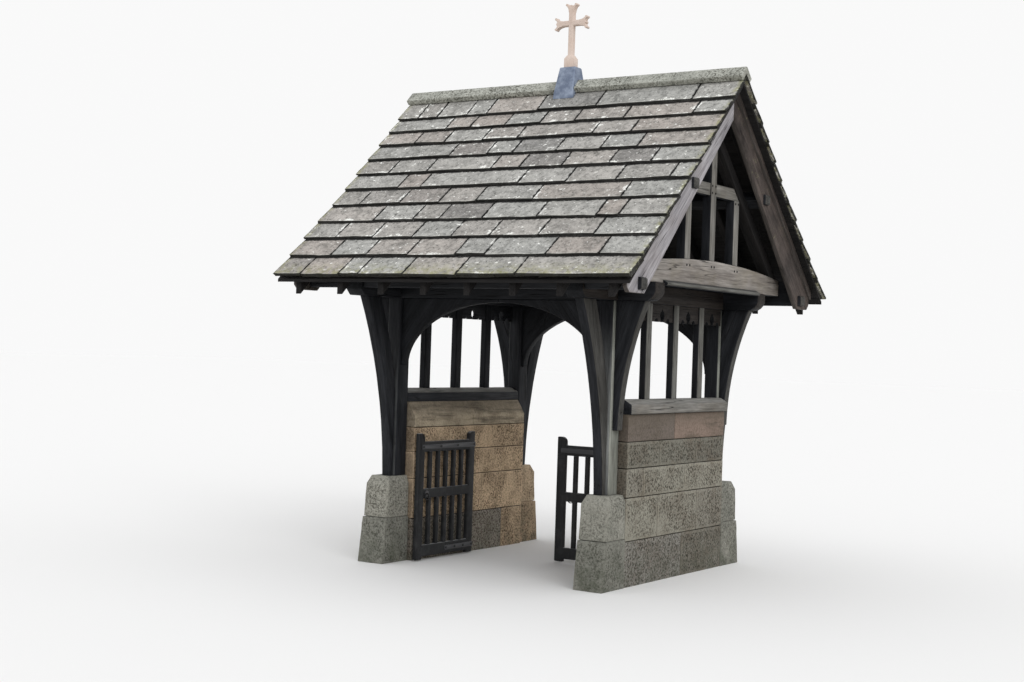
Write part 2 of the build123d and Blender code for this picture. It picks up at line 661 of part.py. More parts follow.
def bargeboard():
    """The back bargeboard on the right, wider at its foot and with a proud strip along its top."""
    near = APEX_JOINT / 2
    heel = BARGE_FOOT_OUTER + BARGE_HEEL
    toe = BARGE_FOOT_OUTER - BARGE_FOOT_WIDTH
    nib = toe - BARGE_NIB
    foot = on_slope(BARGE_FOOT_EDGE, nib) - BARGE_NIB
    face = outline(
        (near, on_slope(BARGE_TOP_EDGE, near)), (near, on_slope(BOARD_SEAT, near)),
        (heel, on_slope(BOARD_SEAT, heel)), (heel, foot + BARGE_HEEL),
        (BARGE_FOOT_OUTER, foot), (toe, foot), (nib, foot + BARGE_NIB))
    board = along_x(face - purlin_block(), BARGE_BACK, BARGE_FACE)
    cap_seat = BOARD_SEAT - BARGE_CAP_DEPTH * RISE
    cap = outline(
        (near, on_slope(cap_seat, near)), (near, on_slope(BOARD_SEAT, near)),
        (heel, on_slope(BOARD_SEAT, heel)), (heel, on_slope(cap_seat, heel)))
    board += along_x(cap, BARGE_FACE, BARGE_FACE + BARGE_CAP_PROUD)
    half = EAVES_PLATE_WIDTH / 2
    return board - block((0, BEAM_END_REACH), (EAVES_PLATE_OFFSET - half, EAVES_PLATE_OFFSET + half),
                         (EAVES_PLATE_BOTTOM, EAVES_PLATE_BOTTOM + EAVES_PLATE_WIDTH))


# Finial
def top_course(y):
    """Height of the top course of slates between the ridge stones and its tail."""
    start = on_slope(RIDGE_SEAT, RIDGE_STONE_REACH)
    end = slate_top(TOP_COURSE_TAIL)
    return start + (end - start) * (y - RIDGE_STONE_REACH) / (TOP_COURSE_TAIL - RIDGE_STONE_REACH)


def saddle_face():
    """The section of the lead hood, less the ridge stones that it is dressed over."""
    edge = RIDGE_STONE_REACH + RIDGE_STONE_THICKNESS * SIN_PITCH
    waist = edge + SADDLE_CLEAR
    half = [(SADDLE_TOP_HALF, SADDLE_TOP), (waist, on_slope(RIDGE_CREST, edge)),
            (SADDLE_FOOT_HALF, top_course(SADDLE_FOOT_HALF)),
            (RIDGE_STONE_REACH, on_slope(RIDGE_SEAT, RIDGE_STONE_REACH))]
    mirrored = [(-y, z) for y, z in reversed(half)]
    face = outline(*half, (0, RIDGE_SEAT), *mirrored)
    face = fillet(face.vertices().group_by(Axis.Y)[-1], SADDLE_SHOULDER)
    return face - ridge_face()


def lead_saddle():
    """The steep lead hood under the finial, longer at its foot than at its top."""
    foot = top_course(SADDLE_FOOT_HALF)
    bottom, top = SADDLE_FOOT_LENGTH / 2, SADDLE_TOP_LENGTH / 2
    front_view = outline((-bottom, foot), (bottom, foot), (top, SADDLE_TOP), (-top, SADDLE_TOP))
    hood = along_x(saddle_face(), -bottom, bottom)
    hood &= along_y(front_view, -SADDLE_FOOT_HALF, SADDLE_FOOT_HALF)
    ends = hood.faces().sort_by(Axis.X)
    shoulder = SADDLE_TOP - 2 * SADDLE_SHOULDER
    rims = [edge for end in (ends[0], ends[-1]) for edge in end.edges() if edge.bounding_box().max.Z > shoulder]
    return Pos(FINIAL_OFFSET, 0, 0) * chamfer(rims, SADDLE_EDGE)


def cross_end():
    """The fish-tailed end of a bar that stops at the origin, with two curled horns and a bud between."""
    tip = CROSS_FLARE_LENGTH - HORN_RADIUS
    spread = CROSS_FLARE_HALF - HORN_RADIUS
    throat = CROSS_FLARE_LENGTH - CROSS_MOUTH_DEPTH
    lower = SagittaArc((0, -CROSS_BAR_HALF), (tip, -CROSS_FLARE_HALF), CROSS_FLARE_SAG)
    mouth = ThreePointArc((CROSS_FLARE_LENGTH, -spread), (throat, 0), (CROSS_FLARE_LENGTH, spread))
    upper = SagittaArc((tip, CROSS_FLARE_HALF), (0, CROSS_BAR_HALF), CROSS_FLARE_SAG)
    rest = Line(lower @ 1, mouth @ 0) + Line(mouth @ 1, upper @ 0) + Line(upper @ 1, lower @ 0)
    tail = make_face(lower + mouth + upper + rest)
    for side in (-1, 1):
        tail += Pos(tip, side * spread) * Circle(HORN_RADIUS)
    return tail + Pos(throat, 0) * Circle(BUD_RADIUS)


def finial_block():
    """The square block of the finial with sloped shoulders."""
    half = FINIAL_BLOCK_WIDTH / 2
    top = SADDLE_TOP + FINIAL_BLOCK_HEIGHT
    slope = top - FINIAL_SLOPE_HEIGHT
    neck = half - FINIAL_SLOPE_IN
    view = outline((-half, SADDLE_TOP), (half, SADDLE_TOP), (half, slope), (neck, top), (-neck, top), (-half, slope))
    return along_x(view, -half, half) & along_y(view, -half, half)


def cross():
    """The finial cross on its block, as two chamfered bars with splayed ends."""
    half = CROSS_THICKNESS / 2
    foot = SADDLE_TOP + FINIAL_BLOCK_HEIGHT / 2
    arm_neck = CROSS_ARM_REACH - CROSS_FLARE_LENGTH
    top_neck = CROSS_TOP - CROSS_FLARE_LENGTH
    upright = block((-CROSS_BAR_HALF, CROSS_BAR_HALF), (-half, half), (foot, top_neck))
    bar = block((-arm_neck, arm_neck), (-half, half),
                (CROSS_ARM_LEVEL - CROSS_BAR_HALF, CROSS_ARM_LEVEL + CROSS_BAR_HALF))
    stone = chamfer(upright.edges().filter_by(Axis.Z), CROSS_CHAMFER)
    stone += chamfer(bar.edges().filter_by(Axis.X), CROSS_CHAMFER)
    places = (Pos(arm_neck, CROSS_ARM_LEVEL), Pos(-arm_neck, CROSS_ARM_LEVEL) * Rot(0, 0, 2 * QUARTER_TURN),
              Pos(0, top_neck) * Rot(0, 0, QUARTER_TURN))
    for place in places:
        stone += along_y(place * cross_end(), -half, half)
    return Pos(FINIAL_OFFSET, 0, 0) * (stone + finial_block())


# Gate leaves, drawn shut, with the heel on the right and the hinge pin at HINGE_X, HINGE_Y
LEAF_HEEL_X = HINGE_X - LEAF_HEEL
LEAF_TOE_X = LEAF_HEEL_X - LEAF_LENGTH


def stile(outer, inner):
    """One stile, its head rounded down towards the middle of the leaf."""
    face = outline((outer, LEAF_BOTTOM), (inner, LEAF_BOTTOM), (inner, STILE_TOP), (outer, STILE_TOP))
    face = fillet(face.vertices().sort_by_distance((inner, STILE_TOP, 0))[0], STILE_ROUNDING)
    return along_y(face, -LEAF_THICKNESS / 2, LEAF_THICKNESS / 2)


def leaf_frame():
    """Two stiles and three rails, framed together."""
    frame = stile(LEAF_TOE_X, LEAF_TOE_X + STILE_WIDTH) + stile(LEAF_HEEL_X, LEAF_HEEL_X - STILE_WIDTH)
    for low, high in RAILS:
        frame += block((LEAF_TOE_X + STILE_WIDTH / 2, LEAF_HEEL_X - STILE_WIDTH / 2),
                       (-LEAF_THICKNESS / 2, LEAF_THICKNESS / 2), (low, high))
    return frame


def leaf_pickets():
    """The pickets above and below the middle rail."""
    clear = LEAF_LENGTH - 2 * STILE_WIDTH
    gap = (clear - PICKET_COUNT * PICKET_WIDTH) / (PICKET_COUNT + 1)
    sticks = []
    for number in range(PICKET_COUNT):
        start = LEAF_TOE_X + STILE_WIDTH + gap + number * (PICKET_WIDTH + gap)
        for low, high in ((BOTTOM_RAIL_TOP, MID_RAIL_FOOT), (MID_RAIL_TOP, TOP_RAIL_FOOT)):
            sticks.append(block((start, start + PICKET_WIDTH), (-PICKET_THICKNESS / 2, PICKET_THICKNESS / 2),
                                (low, high)))
    return sticks


def hinge_strap(length, level):
    """One strap along a rail, cranked to its eye on the pin."""
    half = STRAP_WIDTH / 2
    face_y = -LEAF_THICKNESS / 2
    eye_radius = PIN_RADIUS + PIN_CLEARANCE + EYE_THICKNESS
    strap = block((LEAF_HEEL_X - length, LEAF_HEEL_X), (face_y - STRAP_THICKNESS, face_y),
                  (level - half, level + half))
    reach = block((LEAF_HEEL_X - STRAP_THICKNESS, HINGE_X), (HINGE_Y - eye_radius, HINGE_Y - eye_radius + EYE_THICKNESS),
                  (level - half, level + half))
    crank = block((LEAF_HEEL_X - STRAP_THICKNESS, LEAF_HEEL_X),
                  (HINGE_Y - eye_radius, face_y), (level - half, level + half))
    eye = Pos(HINGE_X, HINGE_Y, level) * Cylinder(eye_radius, STRAP_WIDTH)
    hinge = strap + crank + reach + eye
    hole = Pos(HINGE_X, HINGE_Y, level) * Cylinder(PIN_RADIUS + PIN_CLEARANCE, 2 * STRAP_WIDTH)
    return hinge - hole


def bolt_heads(length, level):
    """The bolt heads along one strap, on the face away from the hinge."""
    face_y = LEAF_THICKNESS / 2 + STRAP_THICKNESS
    pitch = (length - STRAP_WIDTH) / (BOLT_COUNT - 1)
    start = LEAF_HEEL_X - STRAP_WIDTH / 2
    head = Rot(QUARTER_TURN, 0, 0) * extrude(RegularPolygon(BOLT_RADIUS, BOLT_SIDES), BOLT_HEIGHT)
    return [Pos(start - number * pitch, face_y + BOLT_HEIGHT, level) * head for number in range(BOLT_COUNT)]


def leaf_ironwork():
    """Both strap hinges, their back straps and bolts, and the latch ring."""
    pieces = []
    half = STRAP_WIDTH / 2
    back_y = LEAF_THICKNESS / 2
    for length, level in STRAPS:
        back = block((LEAF_HEEL_X - length, LEAF_HEEL_X), (back_y, back_y + STRAP_THICKNESS),
                     (level - half, level + half))
        for head in bolt_heads(length, level):
            back += head
        pieces.append(back)
        pieces.append(hinge_strap(length, level))
    pieces.append(latch_ring(back_y))
    return pieces


def latch_ring(face_y):
    """The ring handle on its round plate, on the middle rail beside the meeting stile."""
    place = Pos(LEAF_TOE_X + STILE_WIDTH + LATCH_INSET, face_y, LATCH_LEVEL) * Rot(QUARTER_TURN, 0, 0)
    plate = Cylinder(RING_PLATE_RADIUS, BOLT_HEIGHT, align=(Align.CENTER, Align.CENTER, Align.MAX))
    knob = Cylinder(KNOB_RADIUS, 2 * BOLT_HEIGHT + RING_BAR, align=(Align.CENTER, Align.CENTER, Align.MAX))
    ring = Cylinder(RING_RADIUS, RING_BAR) - Cylinder(RING_RADIUS - RING_BAR, 2 * RING_BAR)
    hung = Pos(0, RING_BAR - RING_RADIUS, -BOLT_HEIGHT - RING_BAR / 2) * ring
    return place * (plate + knob + hung)


def pintles():
    """Two hooks built into the wall, each with an upright pin under a strap eye."""
    eye_radius = PIN_RADIUS + PIN_CLEARANCE + EYE_THICKNESS
    hooks = []
    for level in (TOP_STRAP_LEVEL, BOTTOM_STRAP_LEVEL):
        foot = level - STRAP_WIDTH / 2 - PIN_CLEARANCE
        pin = Pos(HINGE_X, HINGE_Y, foot + PIN_LENGTH / 2 - PINTLE_ARM / 2) * Cylinder(PIN_RADIUS, PIN_LENGTH)
        arm = block((HINGE_X - eye_radius, PASSAGE_HALF), (HINGE_Y - eye_radius, HINGE_Y + eye_radius),
                    (foot - PINTLE_ARM, foot))
        hooks.append(pin + chamfer(arm.edges().filter_by(Axis.Z).group_by(Axis.X)[0], eye_radius / 2))
    return hooks


def stand_open(piece):
    """A shut right leaf, mirrored to the left and swung to lie along its wall."""
    return Pos(-HINGE_X, HINGE_Y, 0) * Rot(0, 0, -QUARTER_TURN) * Pos(HINGE_X, -HINGE_Y, 0) * mirror(piece, about=Plane.YZ)


def save_all():
    """Write every node of the lychgate."""
    for side_name, side in SIDES.items():
        for end_name, end in ENDS.items():
            save(f"base_{end_name}_{side_name}", to_end(to_side(post_base(), side), end))
        save(f"side_wall_{side_name}", to_side(side_wall(), side))
        save(f"sill_{side_name}", to_side(sill(), side))
        save(f"mullions_{side_name}", *[to_side(piece, side) for piece in mullions()])
        save(f"head_boards_{side_name}", *[to_side(piece, side) for piece in head_boards()])
        save(f"cross_beam_{side_name}", to_side(cross_beam(), side))
        for name, brace in (("posts", post()), ("gable_braces", gable_brace()), ("eave_braces", eave_brace())):
            save(f"{name}_{side_name}", *[to_end(to_side(brace, side), end) for end in (-1, 1)])
        save(f"gable_tie_{side_name}", to_side(along_x(tie_face(), *truss_limits()), side))
        save(f"principal_rafters_{side_name}", *[to_side(piece, side) for piece in principal_rafters()])
        save(f"gable_struts_{side_name}", *[to_side(piece, side) for piece in (centre_strut(), *side_struts())])
        save(f"bargeboards_{side_name}", *[to_end(to_side(bargeboard(), side), end) for end in (-1, 1)])
    for end_name, end in ENDS.items():
        save(f"arch_braces_{end_name}", *[to_end(to_side(arch_brace(), side), end) for side in (-1, 1)])
        save(f"wall_plate_{end_name}", to_end(wall_plate(), end))
        save(f"eaves_plate_{end_name}", to_end(eaves_plate(), end))
        save(f"purlin_{end_name}", to_end(purlin(), end))
        save(f"rafters_{end_name}", *[to_end(piece, end) for piece in rafters()])
        save(f"roof_boards_{end_name}", to_end(roof_boards(), end))
        save(f"slates_{end_name}", to_end(slates(), end))
    save("gable_collars", *[to_side(collar(), side) for side in (-1, 1)])
    save("drip_boards", *[to_side(drip_board(), side) for side in (-1, 1)])
    save("pintles", *[to_side(piece, side) for side in (-1, 1) for piece in pintles()])
    save("ridge_board", ridge_board())
    save("ridge_stones", *ridge_stones())
    save("lead_saddle", lead_saddle())
    save("cross", cross())
    save("right_leaf_frame", leaf_frame())
    save("right_leaf_pickets", *leaf_pickets())
    save("right_leaf_ironwork", *leaf_ironwork())
    save("left_leaf_frame", stand_open(leaf_frame()))
    save("left_leaf_pickets", *[stand_open(piece) for piece in leaf_pickets()])
    save("left_leaf_ironwork", *[stand_open(piece) for piece in leaf_ironwork()])


os.makedirs("parts", exist_ok=True)
save_all()
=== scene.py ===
"""The looks of a timber lychgate: stone slates, ashlar, weathered oak, lead, black iron and a stone cross.

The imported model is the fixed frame. Every piece here is in metres, in that frame: X runs along the ridge,
Y through the passage and Z up.
"""
from __future__ import annotations

import logging
import math
import random
from contextlib import contextmanager
from dataclasses import dataclass
from enum import Enum, IntEnum
from functools import cache, reduce
from itertools import pairwise
from typing import Iterable, Iterator, NamedTuple, Sequence

import bpy
from mathutils import Matrix, Vector

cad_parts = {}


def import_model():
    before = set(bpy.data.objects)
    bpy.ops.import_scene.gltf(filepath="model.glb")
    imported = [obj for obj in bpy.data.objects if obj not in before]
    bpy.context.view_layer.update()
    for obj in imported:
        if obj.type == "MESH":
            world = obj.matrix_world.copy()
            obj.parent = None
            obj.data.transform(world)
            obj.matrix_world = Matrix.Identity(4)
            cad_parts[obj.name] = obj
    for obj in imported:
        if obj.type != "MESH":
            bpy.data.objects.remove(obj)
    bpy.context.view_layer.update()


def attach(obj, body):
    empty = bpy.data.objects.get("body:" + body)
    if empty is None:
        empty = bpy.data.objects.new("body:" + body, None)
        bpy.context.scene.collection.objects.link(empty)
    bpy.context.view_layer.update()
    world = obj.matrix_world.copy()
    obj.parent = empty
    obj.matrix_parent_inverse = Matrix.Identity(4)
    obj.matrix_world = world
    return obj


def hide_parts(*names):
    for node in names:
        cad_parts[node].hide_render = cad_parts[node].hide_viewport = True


LOG = logging.getLogger("lychgate")
Colour = tuple[float, float, float, float]
Pair = tuple[Colour, Colour]
Span = tuple[float, float]
Point = tuple[float, float, float]
Material = bpy.types.Material
Piece = bpy.types.Object
Socket = bpy.types.NodeSocket
ROOF_HALF_LENGTH = 1.886
EAVE_LEVEL = 2.665
SIDES = {"left": -1, "right": 1}
ENDS = {"front": -1, "back": 1}


def paint(red: int, green: int, blue: int) -> Colour:
    """Turn a colour as seen on a screen into the linear one that a shader takes.

    Args:
        red: Red from 0 to 255.
        green: Green from 0 to 255.
        blue: Blue from 0 to 255.

    Returns:
        The linear colour with full alpha.
    """
    knee, slope, offset, power = 0.04045, 12.92, 0.055, 2.4
    linear = []
    for level in (red, green, blue):
        share = level / 255
        linear.append(share / slope if share <= knee else ((share + offset) / (1 + offset)) ** power)
    return (linear[0], linear[1], linear[2], 1.0)


def pair(*levels: int) -> Pair:
    """Turn six levels from 0 to 255 into two linear colours."""
    return paint(*levels[:3]), paint(*levels[3:])


def grey(level: int) -> Colour:
    """Give an even grey of a level from 0 to 255."""
    return paint(level, level, level)


WHITE = grey(255)


class Grain(Enum):
    """The way that the fibres of a timber or the strokes on a stone run."""

    ALONG_X = (1.0, 0.0, 0.0)
    ALONG_Y = (0.0, 1.0, 0.0)
    ALONG_Z = (0.0, 0.0, 1.0)
    DOWN_SLOPE = (0.0, 0.7254, -0.6884)
    UP_GABLE_BRACE = (0.32, 0.0, 0.95)
    UP_EAVE_BRACE = (0.0, 0.26, 0.97)
    OVER_ARCH = (-0.62, 0.0, 0.78)

    def turn(self) -> Point:
        """Give the three Euler angles that bring the X axis onto the grain."""
        return tuple(Vector((1, 0, 0)).rotation_difference(Vector(self.value)).to_euler())

    @property
    def folded(self) -> bool:
        """Tell whether pieces of this grain mirror each other across the middle."""
        return self not in (Grain.ALONG_X, Grain.ALONG_Y, Grain.ALONG_Z)


class Cloud(NamedTuple):
    """A cloudy pattern: its cells per metre, its finer layers, the part of it that shows and how strongly."""

    scale: float
    detail: float
    roughness: float
    low: float
    high: float
    share: float = 1.0


class Board:
    """Lays out the nodes of one material or world and joins them."""

    def __init__(self, owner: Material | bpy.types.World) -> None:
        """Take up the node tree of a material or world."""
        owner.use_nodes = True
        self.owner, self.tree = owner, owner.node_tree

    def feed(self, socket: Socket, value: object) -> None:
        """Join a socket to another, or set its value.

        Args:
            socket: The socket that receives.
            value: A socket to join, or a plain value.
        """
        if isinstance(value, Socket):
            self.tree.links.new(value, socket)
        else:
            socket.default_value = value

    def make(self, kind: str, inputs: dict[int | str, object], output: int | str = 0,
             **settings: object) -> Socket:
        """Add one node.

        Args:
            kind: Blender's name for the node type, after ShaderNode.
            inputs: A socket or plain value for each input that is set.
            output: Number or name of the output that is used.
            **settings: Properties of the node.

        Returns:
            The output.
        """
        node = self.tree.nodes.new(f"ShaderNode{kind}")
        for name, value in settings.items():
            setattr(node, name, value)
        for key, value in inputs.items():
            self.feed(node.inputs[key], value)
        return node.outputs[output]

    def direct_view(self) -> Socket:
        """Tell which rays come from the eye, straight or by gloss or glass.

        Returns:
            1 for such a ray and 0 for any other.
        """
        path = self.tree.nodes.new("ShaderNodeLightPath").outputs
        share = path["Is Camera Ray"]
        for kind in ("Is Glossy Ray", "Is Transmission Ray"):
            share = self.math("MAXIMUM", share, path[kind])
        return share

    @property
    def place(self) -> Socket:
        """Coordinates in metres in the object's own frame."""
        return self.make("TexCoord", {}, "Object")

    def math(self, operation: str, first: object, second: object = 0.0) -> Socket:
        """Combine two values by one of Blender's operations."""
        return self.make("Math", {0: first, 1: second}, operation=operation)

    def axis(self, number: int) -> Socket:
        """Give one object coordinate, 0, 1 or 2 for X, Y or Z."""
        return self.make("SeparateXYZ", {0: self.place}, number)

    def facing(self, number: int) -> Socket:
        """Give one part of the surface direction, 0, 1 or 2 for X, Y or Z."""
        return self.make("SeparateXYZ", {0: self.make("TexCoord", {}, "Normal")}, number)

    def folded(self) -> Socket:
        """Give object coordinates with X and Y taken without their sign."""
        across, through = (self.math("ABSOLUTE", self.axis(number)) for number in (0, 1))
        return self.make("CombineXYZ", {0: across, 1: through, 2: self.axis(2)})

    def between(self, value: object, low: float, high: float) -> Socket:
        """Spread the part of a value between two limits over 0 to 1, and hold the rest at 0 or 1."""
        return self.make("MapRange", {"Value": value, "From Min": low, "From Max": high}, clamp=True)

    def outward(self, number: int, low: float = 0.75, high: float = 0.95) -> Socket:
        """Tell the faces that look away from the middle, by their distance times how squarely they look."""
        return self.between(self.both(self.axis(number), self.facing(number)), low, high)

    def upward(self) -> Socket:
        """Tell the faces that look up: 1 on them and 0 on the others."""
        return self.between(self.facing(2), low=0.55, high=0.9)

    def both(self, *shares: object) -> Socket:
        """Multiply shares, so that the result is full only where all of them are."""
        return reduce(lambda result, share: self.math("MULTIPLY", result, share), shares)

    def most(self, *shares: object) -> Socket:
        """Give the largest of several shares."""
        return reduce(lambda result, share: self.math("MAXIMUM", result, share), shares)

    def run(self, grain: Grain, stretch: float, shift: float = 0.0) -> Socket:
        """Give coordinates stretched along a grain, and shifted so that patterns differ."""
        return self.make("Mapping", {
            "Location": (shift, shift * 0.7, shift * 0.3), "Rotation": grain.turn(),
            "Scale": (stretch, 1, 1), "Vector": self.folded() if grain.folded else self.place,
        }, vector_type="TEXTURE")

    def noise(self, vector: Socket, scale: float, detail: float = 3.0, roughness: float = 0.55) -> Socket:
        """Give a cloudy pattern from 0 to 1 with so many cells per metre."""
        return self.make("TexNoise", {"Vector": vector, "Scale": scale, "Detail": detail,
                                      "Roughness": roughness}, "Fac")

    def cloud(self, cloud: Cloud, vector: Socket | None = None) -> Socket:
        """Give the part of a cloudy pattern between its limits, from 0 to 1."""
        pattern = self.noise(self.place if vector is None else vector, *cloud[:3])
        return self.between(pattern, cloud.low, cloud.high)

    def pits(self, scale: float) -> Socket:
        """Give the distance to scattered points, so many per metre."""
        return self.make("TexVoronoi", {"Vector": self.place, "Scale": scale}, "Distance")

    def blend(self, share: object, first: object, second: object, mode: str = "MIX") -> Socket:
        """Blend two colours by the share of the second, in one of Blender's modes."""
        return self.make("Mix", {0: share, 6: first, 7: second}, 2, data_type="RGBA", blend_type=mode)

    def cover(self, colour: Socket, cloud: Cloud, over: Colour, *shares: object) -> Socket:
        """Lay a colour over another where a cloud and the further shares let it show."""
        return self.blend(self.both(self.cloud(cloud), cloud.share, *shares), colour, over)

    def tone(self, name: str) -> Socket:
        """Give the number of that name which each stone or slate carries."""
        return self.make("Attribute", {}, "Fac", attribute_name=name)

    def relief(self, height: Socket, strength: float, depth: float, under: Socket | None = None) -> Socket:
        """Turn a pattern into relief.

        Args:
            height: The pattern.
            strength: Share of the relief that shows.
            depth: Depth in metres.
            under: Relief that this one is laid over.

        Returns:
            The surface direction.
        """
        inputs = {"Strength": strength, "Distance": depth, "Height": height}
        if under is not None:
            inputs["Normal"] = under
        return self.make("Bump", inputs)

    def done(self, colour: object, roughness: object, relief: Socket | None = None,
             metallic: float = 0.0, sheen: float = 0.5) -> Material:
        """Join the results to the shader.

        Args:
            colour: A socket or colour.
            roughness: A socket or number.
            relief: The surface direction.
            metallic: Share of metal.
            sheen: How strongly the bare surface mirrors, 0.5 being polished.

        Returns:
            The material.
        """
        inputs = {"Base Color": colour, "Roughness": roughness, "Metallic": metallic,
                  "Specular IOR Level": sheen}
        if relief is not None:
            inputs["Normal"] = relief
        for name, value in inputs.items():
            self.feed(self.tree.nodes["Principled BSDF"].inputs[name], value)
        return self.owner


def material_board(name: str) -> Board:
    """Start a material of that name."""
    return Board(bpy.data.materials.new(name))


@dataclass(frozen=True)
class OakFinish:
    """Oak that is dark where sheltered and bleached on the outward faces, with checks along its grain.

    Each pair holds the darker and the lighter tone of the streaks. The front tones are painted light: they
    show on the front faces of the right posts and by a share on those of the left posts, and give way to
    painted shade towards the eaves. The behind tones are painted shade on the back half of the object.
    """

    name: str
    sheltered: Pair
    bleached: Pair
    blotch: Colour
    blotch_share: float
    lichen: Colour | None = None
    behind: Pair | None = None
    front: Pair | None = None
    rained: float = 0.0
    washed: Colour = paint(204, 202, 196)
    washed_share: float = 0.6
    right_posts: Span = (0.9, 1.08)
    left_share: float = 0.25
    front_faces: Span = (-0.8, -0.95)
    lit_below_eaves: Span = (2.3, 1.5)
    middle: Span = (-0.003, 0.003)
    streaks: Cloud = Cloud(13, 4, 0.6, 0.3, 0.72)
    blotches: Cloud = Cloud(2.6, 4, 0.6, 0.45, 0.7)
    checked: Cloud = Cloud(3.5, 2, 0.55, 0.42, 0.6)
    check_width: Span = (0.014, 0.002)
    check_share: float = 0.8
    check_tone: Colour = paint(18, 17, 17)
    lichen_spots: Cloud = Cloud(24, 5, 0.7, 0.6, 0.7, 0.5)
    lichen_zone: Cloud = Cloud(1.7, 2, 0.55, 0.46, 0.62)

    def body(self, board: Board, streak: Socket) -> Socket:
        """Colour the oak by its shelter.

        Args:
            board: The board in hand.
            streak: Share of the lighter of each pair of colours.

        Returns:
            The colour.
        """
        colour = board.blend(streak, *self.sheltered)
        # Painted light on the front faces of the right posts, and by a share on the left posts, fading out
        # towards the eaves as painted shade.
        if self.front is not None:
            side = board.most(board.between(board.axis(0), *self.right_posts), self.left_share)
            lit = board.both(board.outward(1), side, board.between(board.axis(1), *self.front_faces),
                             board.between(board.axis(2), *self.lit_below_eaves))
            colour = board.blend(lit, colour, board.blend(streak, *self.front))
        outside = board.blend(streak, *self.bleached)
        if self.rained:
            washed = board.both(board.upward(), self.rained)
            outside = board.blend(board.both(washed, self.washed_share), outside, self.washed)
            colour = board.blend(washed, colour, outside)
        # Painted shade: the outward faces of the back half, the back bargeboards, take the darker behind tones.
        if self.behind is not None:
            outside = board.blend(board.between(board.axis(1), *self.middle), outside,
                                  board.blend(streak, *self.behind))
        return board.blend(board.outward(0), colour, outside)

    def material(self, grain: Grain) -> Material:
        """Make the material.

        Args:
            grain: Direction of the grain.

        Returns:
            The oak.
        """
        board = material_board(f"{self.name}_{grain.name.lower()}")
        fibre = board.noise(board.run(grain, stretch=16), 85, 3, 0.6)
        colour = self.body(board, board.cloud(self.streaks, board.run(grain, stretch=9, shift=3.1)))
        colour = board.cover(colour, self.blotches, self.blotch, self.blotch_share, board.outward(0))
        shade = board.blend(board.between(fibre, 0.25, 0.75), grey(150), WHITE)
        colour = board.blend(0.75, colour, shade, "MULTIPLY")
        line = board.noise(board.run(grain, stretch=26, shift=7.7), 17, 1.5, 0.4)
        split = board.between(board.math("ABSOLUTE", board.math("SUBTRACT", line, 0.5)), *self.check_width)
        split = board.both(split, board.cloud(self.checked))
        colour = board.blend(board.both(split, self.check_share), colour, self.check_tone)
        if self.lichen is not None:
            colour = board.cover(colour, self.lichen_spots, self.lichen, board.cloud(self.lichen_zone),
                                 board.outward(0))
        relief = board.relief(fibre, strength=0.5, depth=0.004)
        relief = board.relief(board.math("SUBTRACT", 1.0, split), 0.8, 0.006, relief)
        return board.done(colour, board.between(fibre, 1.9, -0.4), relief, sheen=0.12)


@dataclass(frozen=True)
class PaintedOakFinish:
    """Black stain on oak, worn thin in patches, with the grain showing through; its top faces take dust and a
    painted highlight.
    """

    name: str = "black_stain"
    body: Colour = paint(26, 27, 29)
    worn: Colour = paint(56, 57, 59)
    dust_and_highlight: Colour = paint(176, 178, 180)
    dust_and_highlight_share: float = 0.7
    wear: Cloud = Cloud(9, 5, 0.65, 0.5, 0.8)
    grain_share: float = 0.35

    def material(self) -> Material:
        """Make the material.

        Returns:
            The stained oak.
        """
        board = material_board(self.name)
        fibre = board.noise(board.run(Grain.ALONG_Z, stretch=12), 80, 3, 0.6)
        colour = board.blend(board.cloud(self.wear), self.body, self.worn)
        lines = board.both(board.between(fibre, 0.55, 0.75), self.grain_share)
        colour = board.blend(lines, colour, self.worn)
        # Painted highlight, with dust, on the top faces and worn top arrises of the rails.
        colour = board.blend(board.both(board.upward(), self.dust_and_highlight_share), colour, self.dust_and_highlight)
        return board.done(colour, 0.62, board.relief(fibre, strength=0.35, depth=0.002), sheen=0.3)


@dataclass(frozen=True)
class IronFinish:
    """Black iron, hammered and a little rusty."""

    name: str
    body: Colour
    rust: Colour
    spots: Cloud = Cloud(35, 5, 0.7, 0.6, 0.72, 0.5)

    def material(self) -> Material:
        """Make the material.

        Returns:
            The iron.
        """
        board = material_board(self.name)
        dents = board.relief(board.noise(board.place, 60), strength=0.4, depth=0.002)
        colour = board.blend(board.both(board.cloud(self.spots), self.spots.share), self.body, self.rust)
        return board.done(colour, 0.5, dents, metallic=0.2)


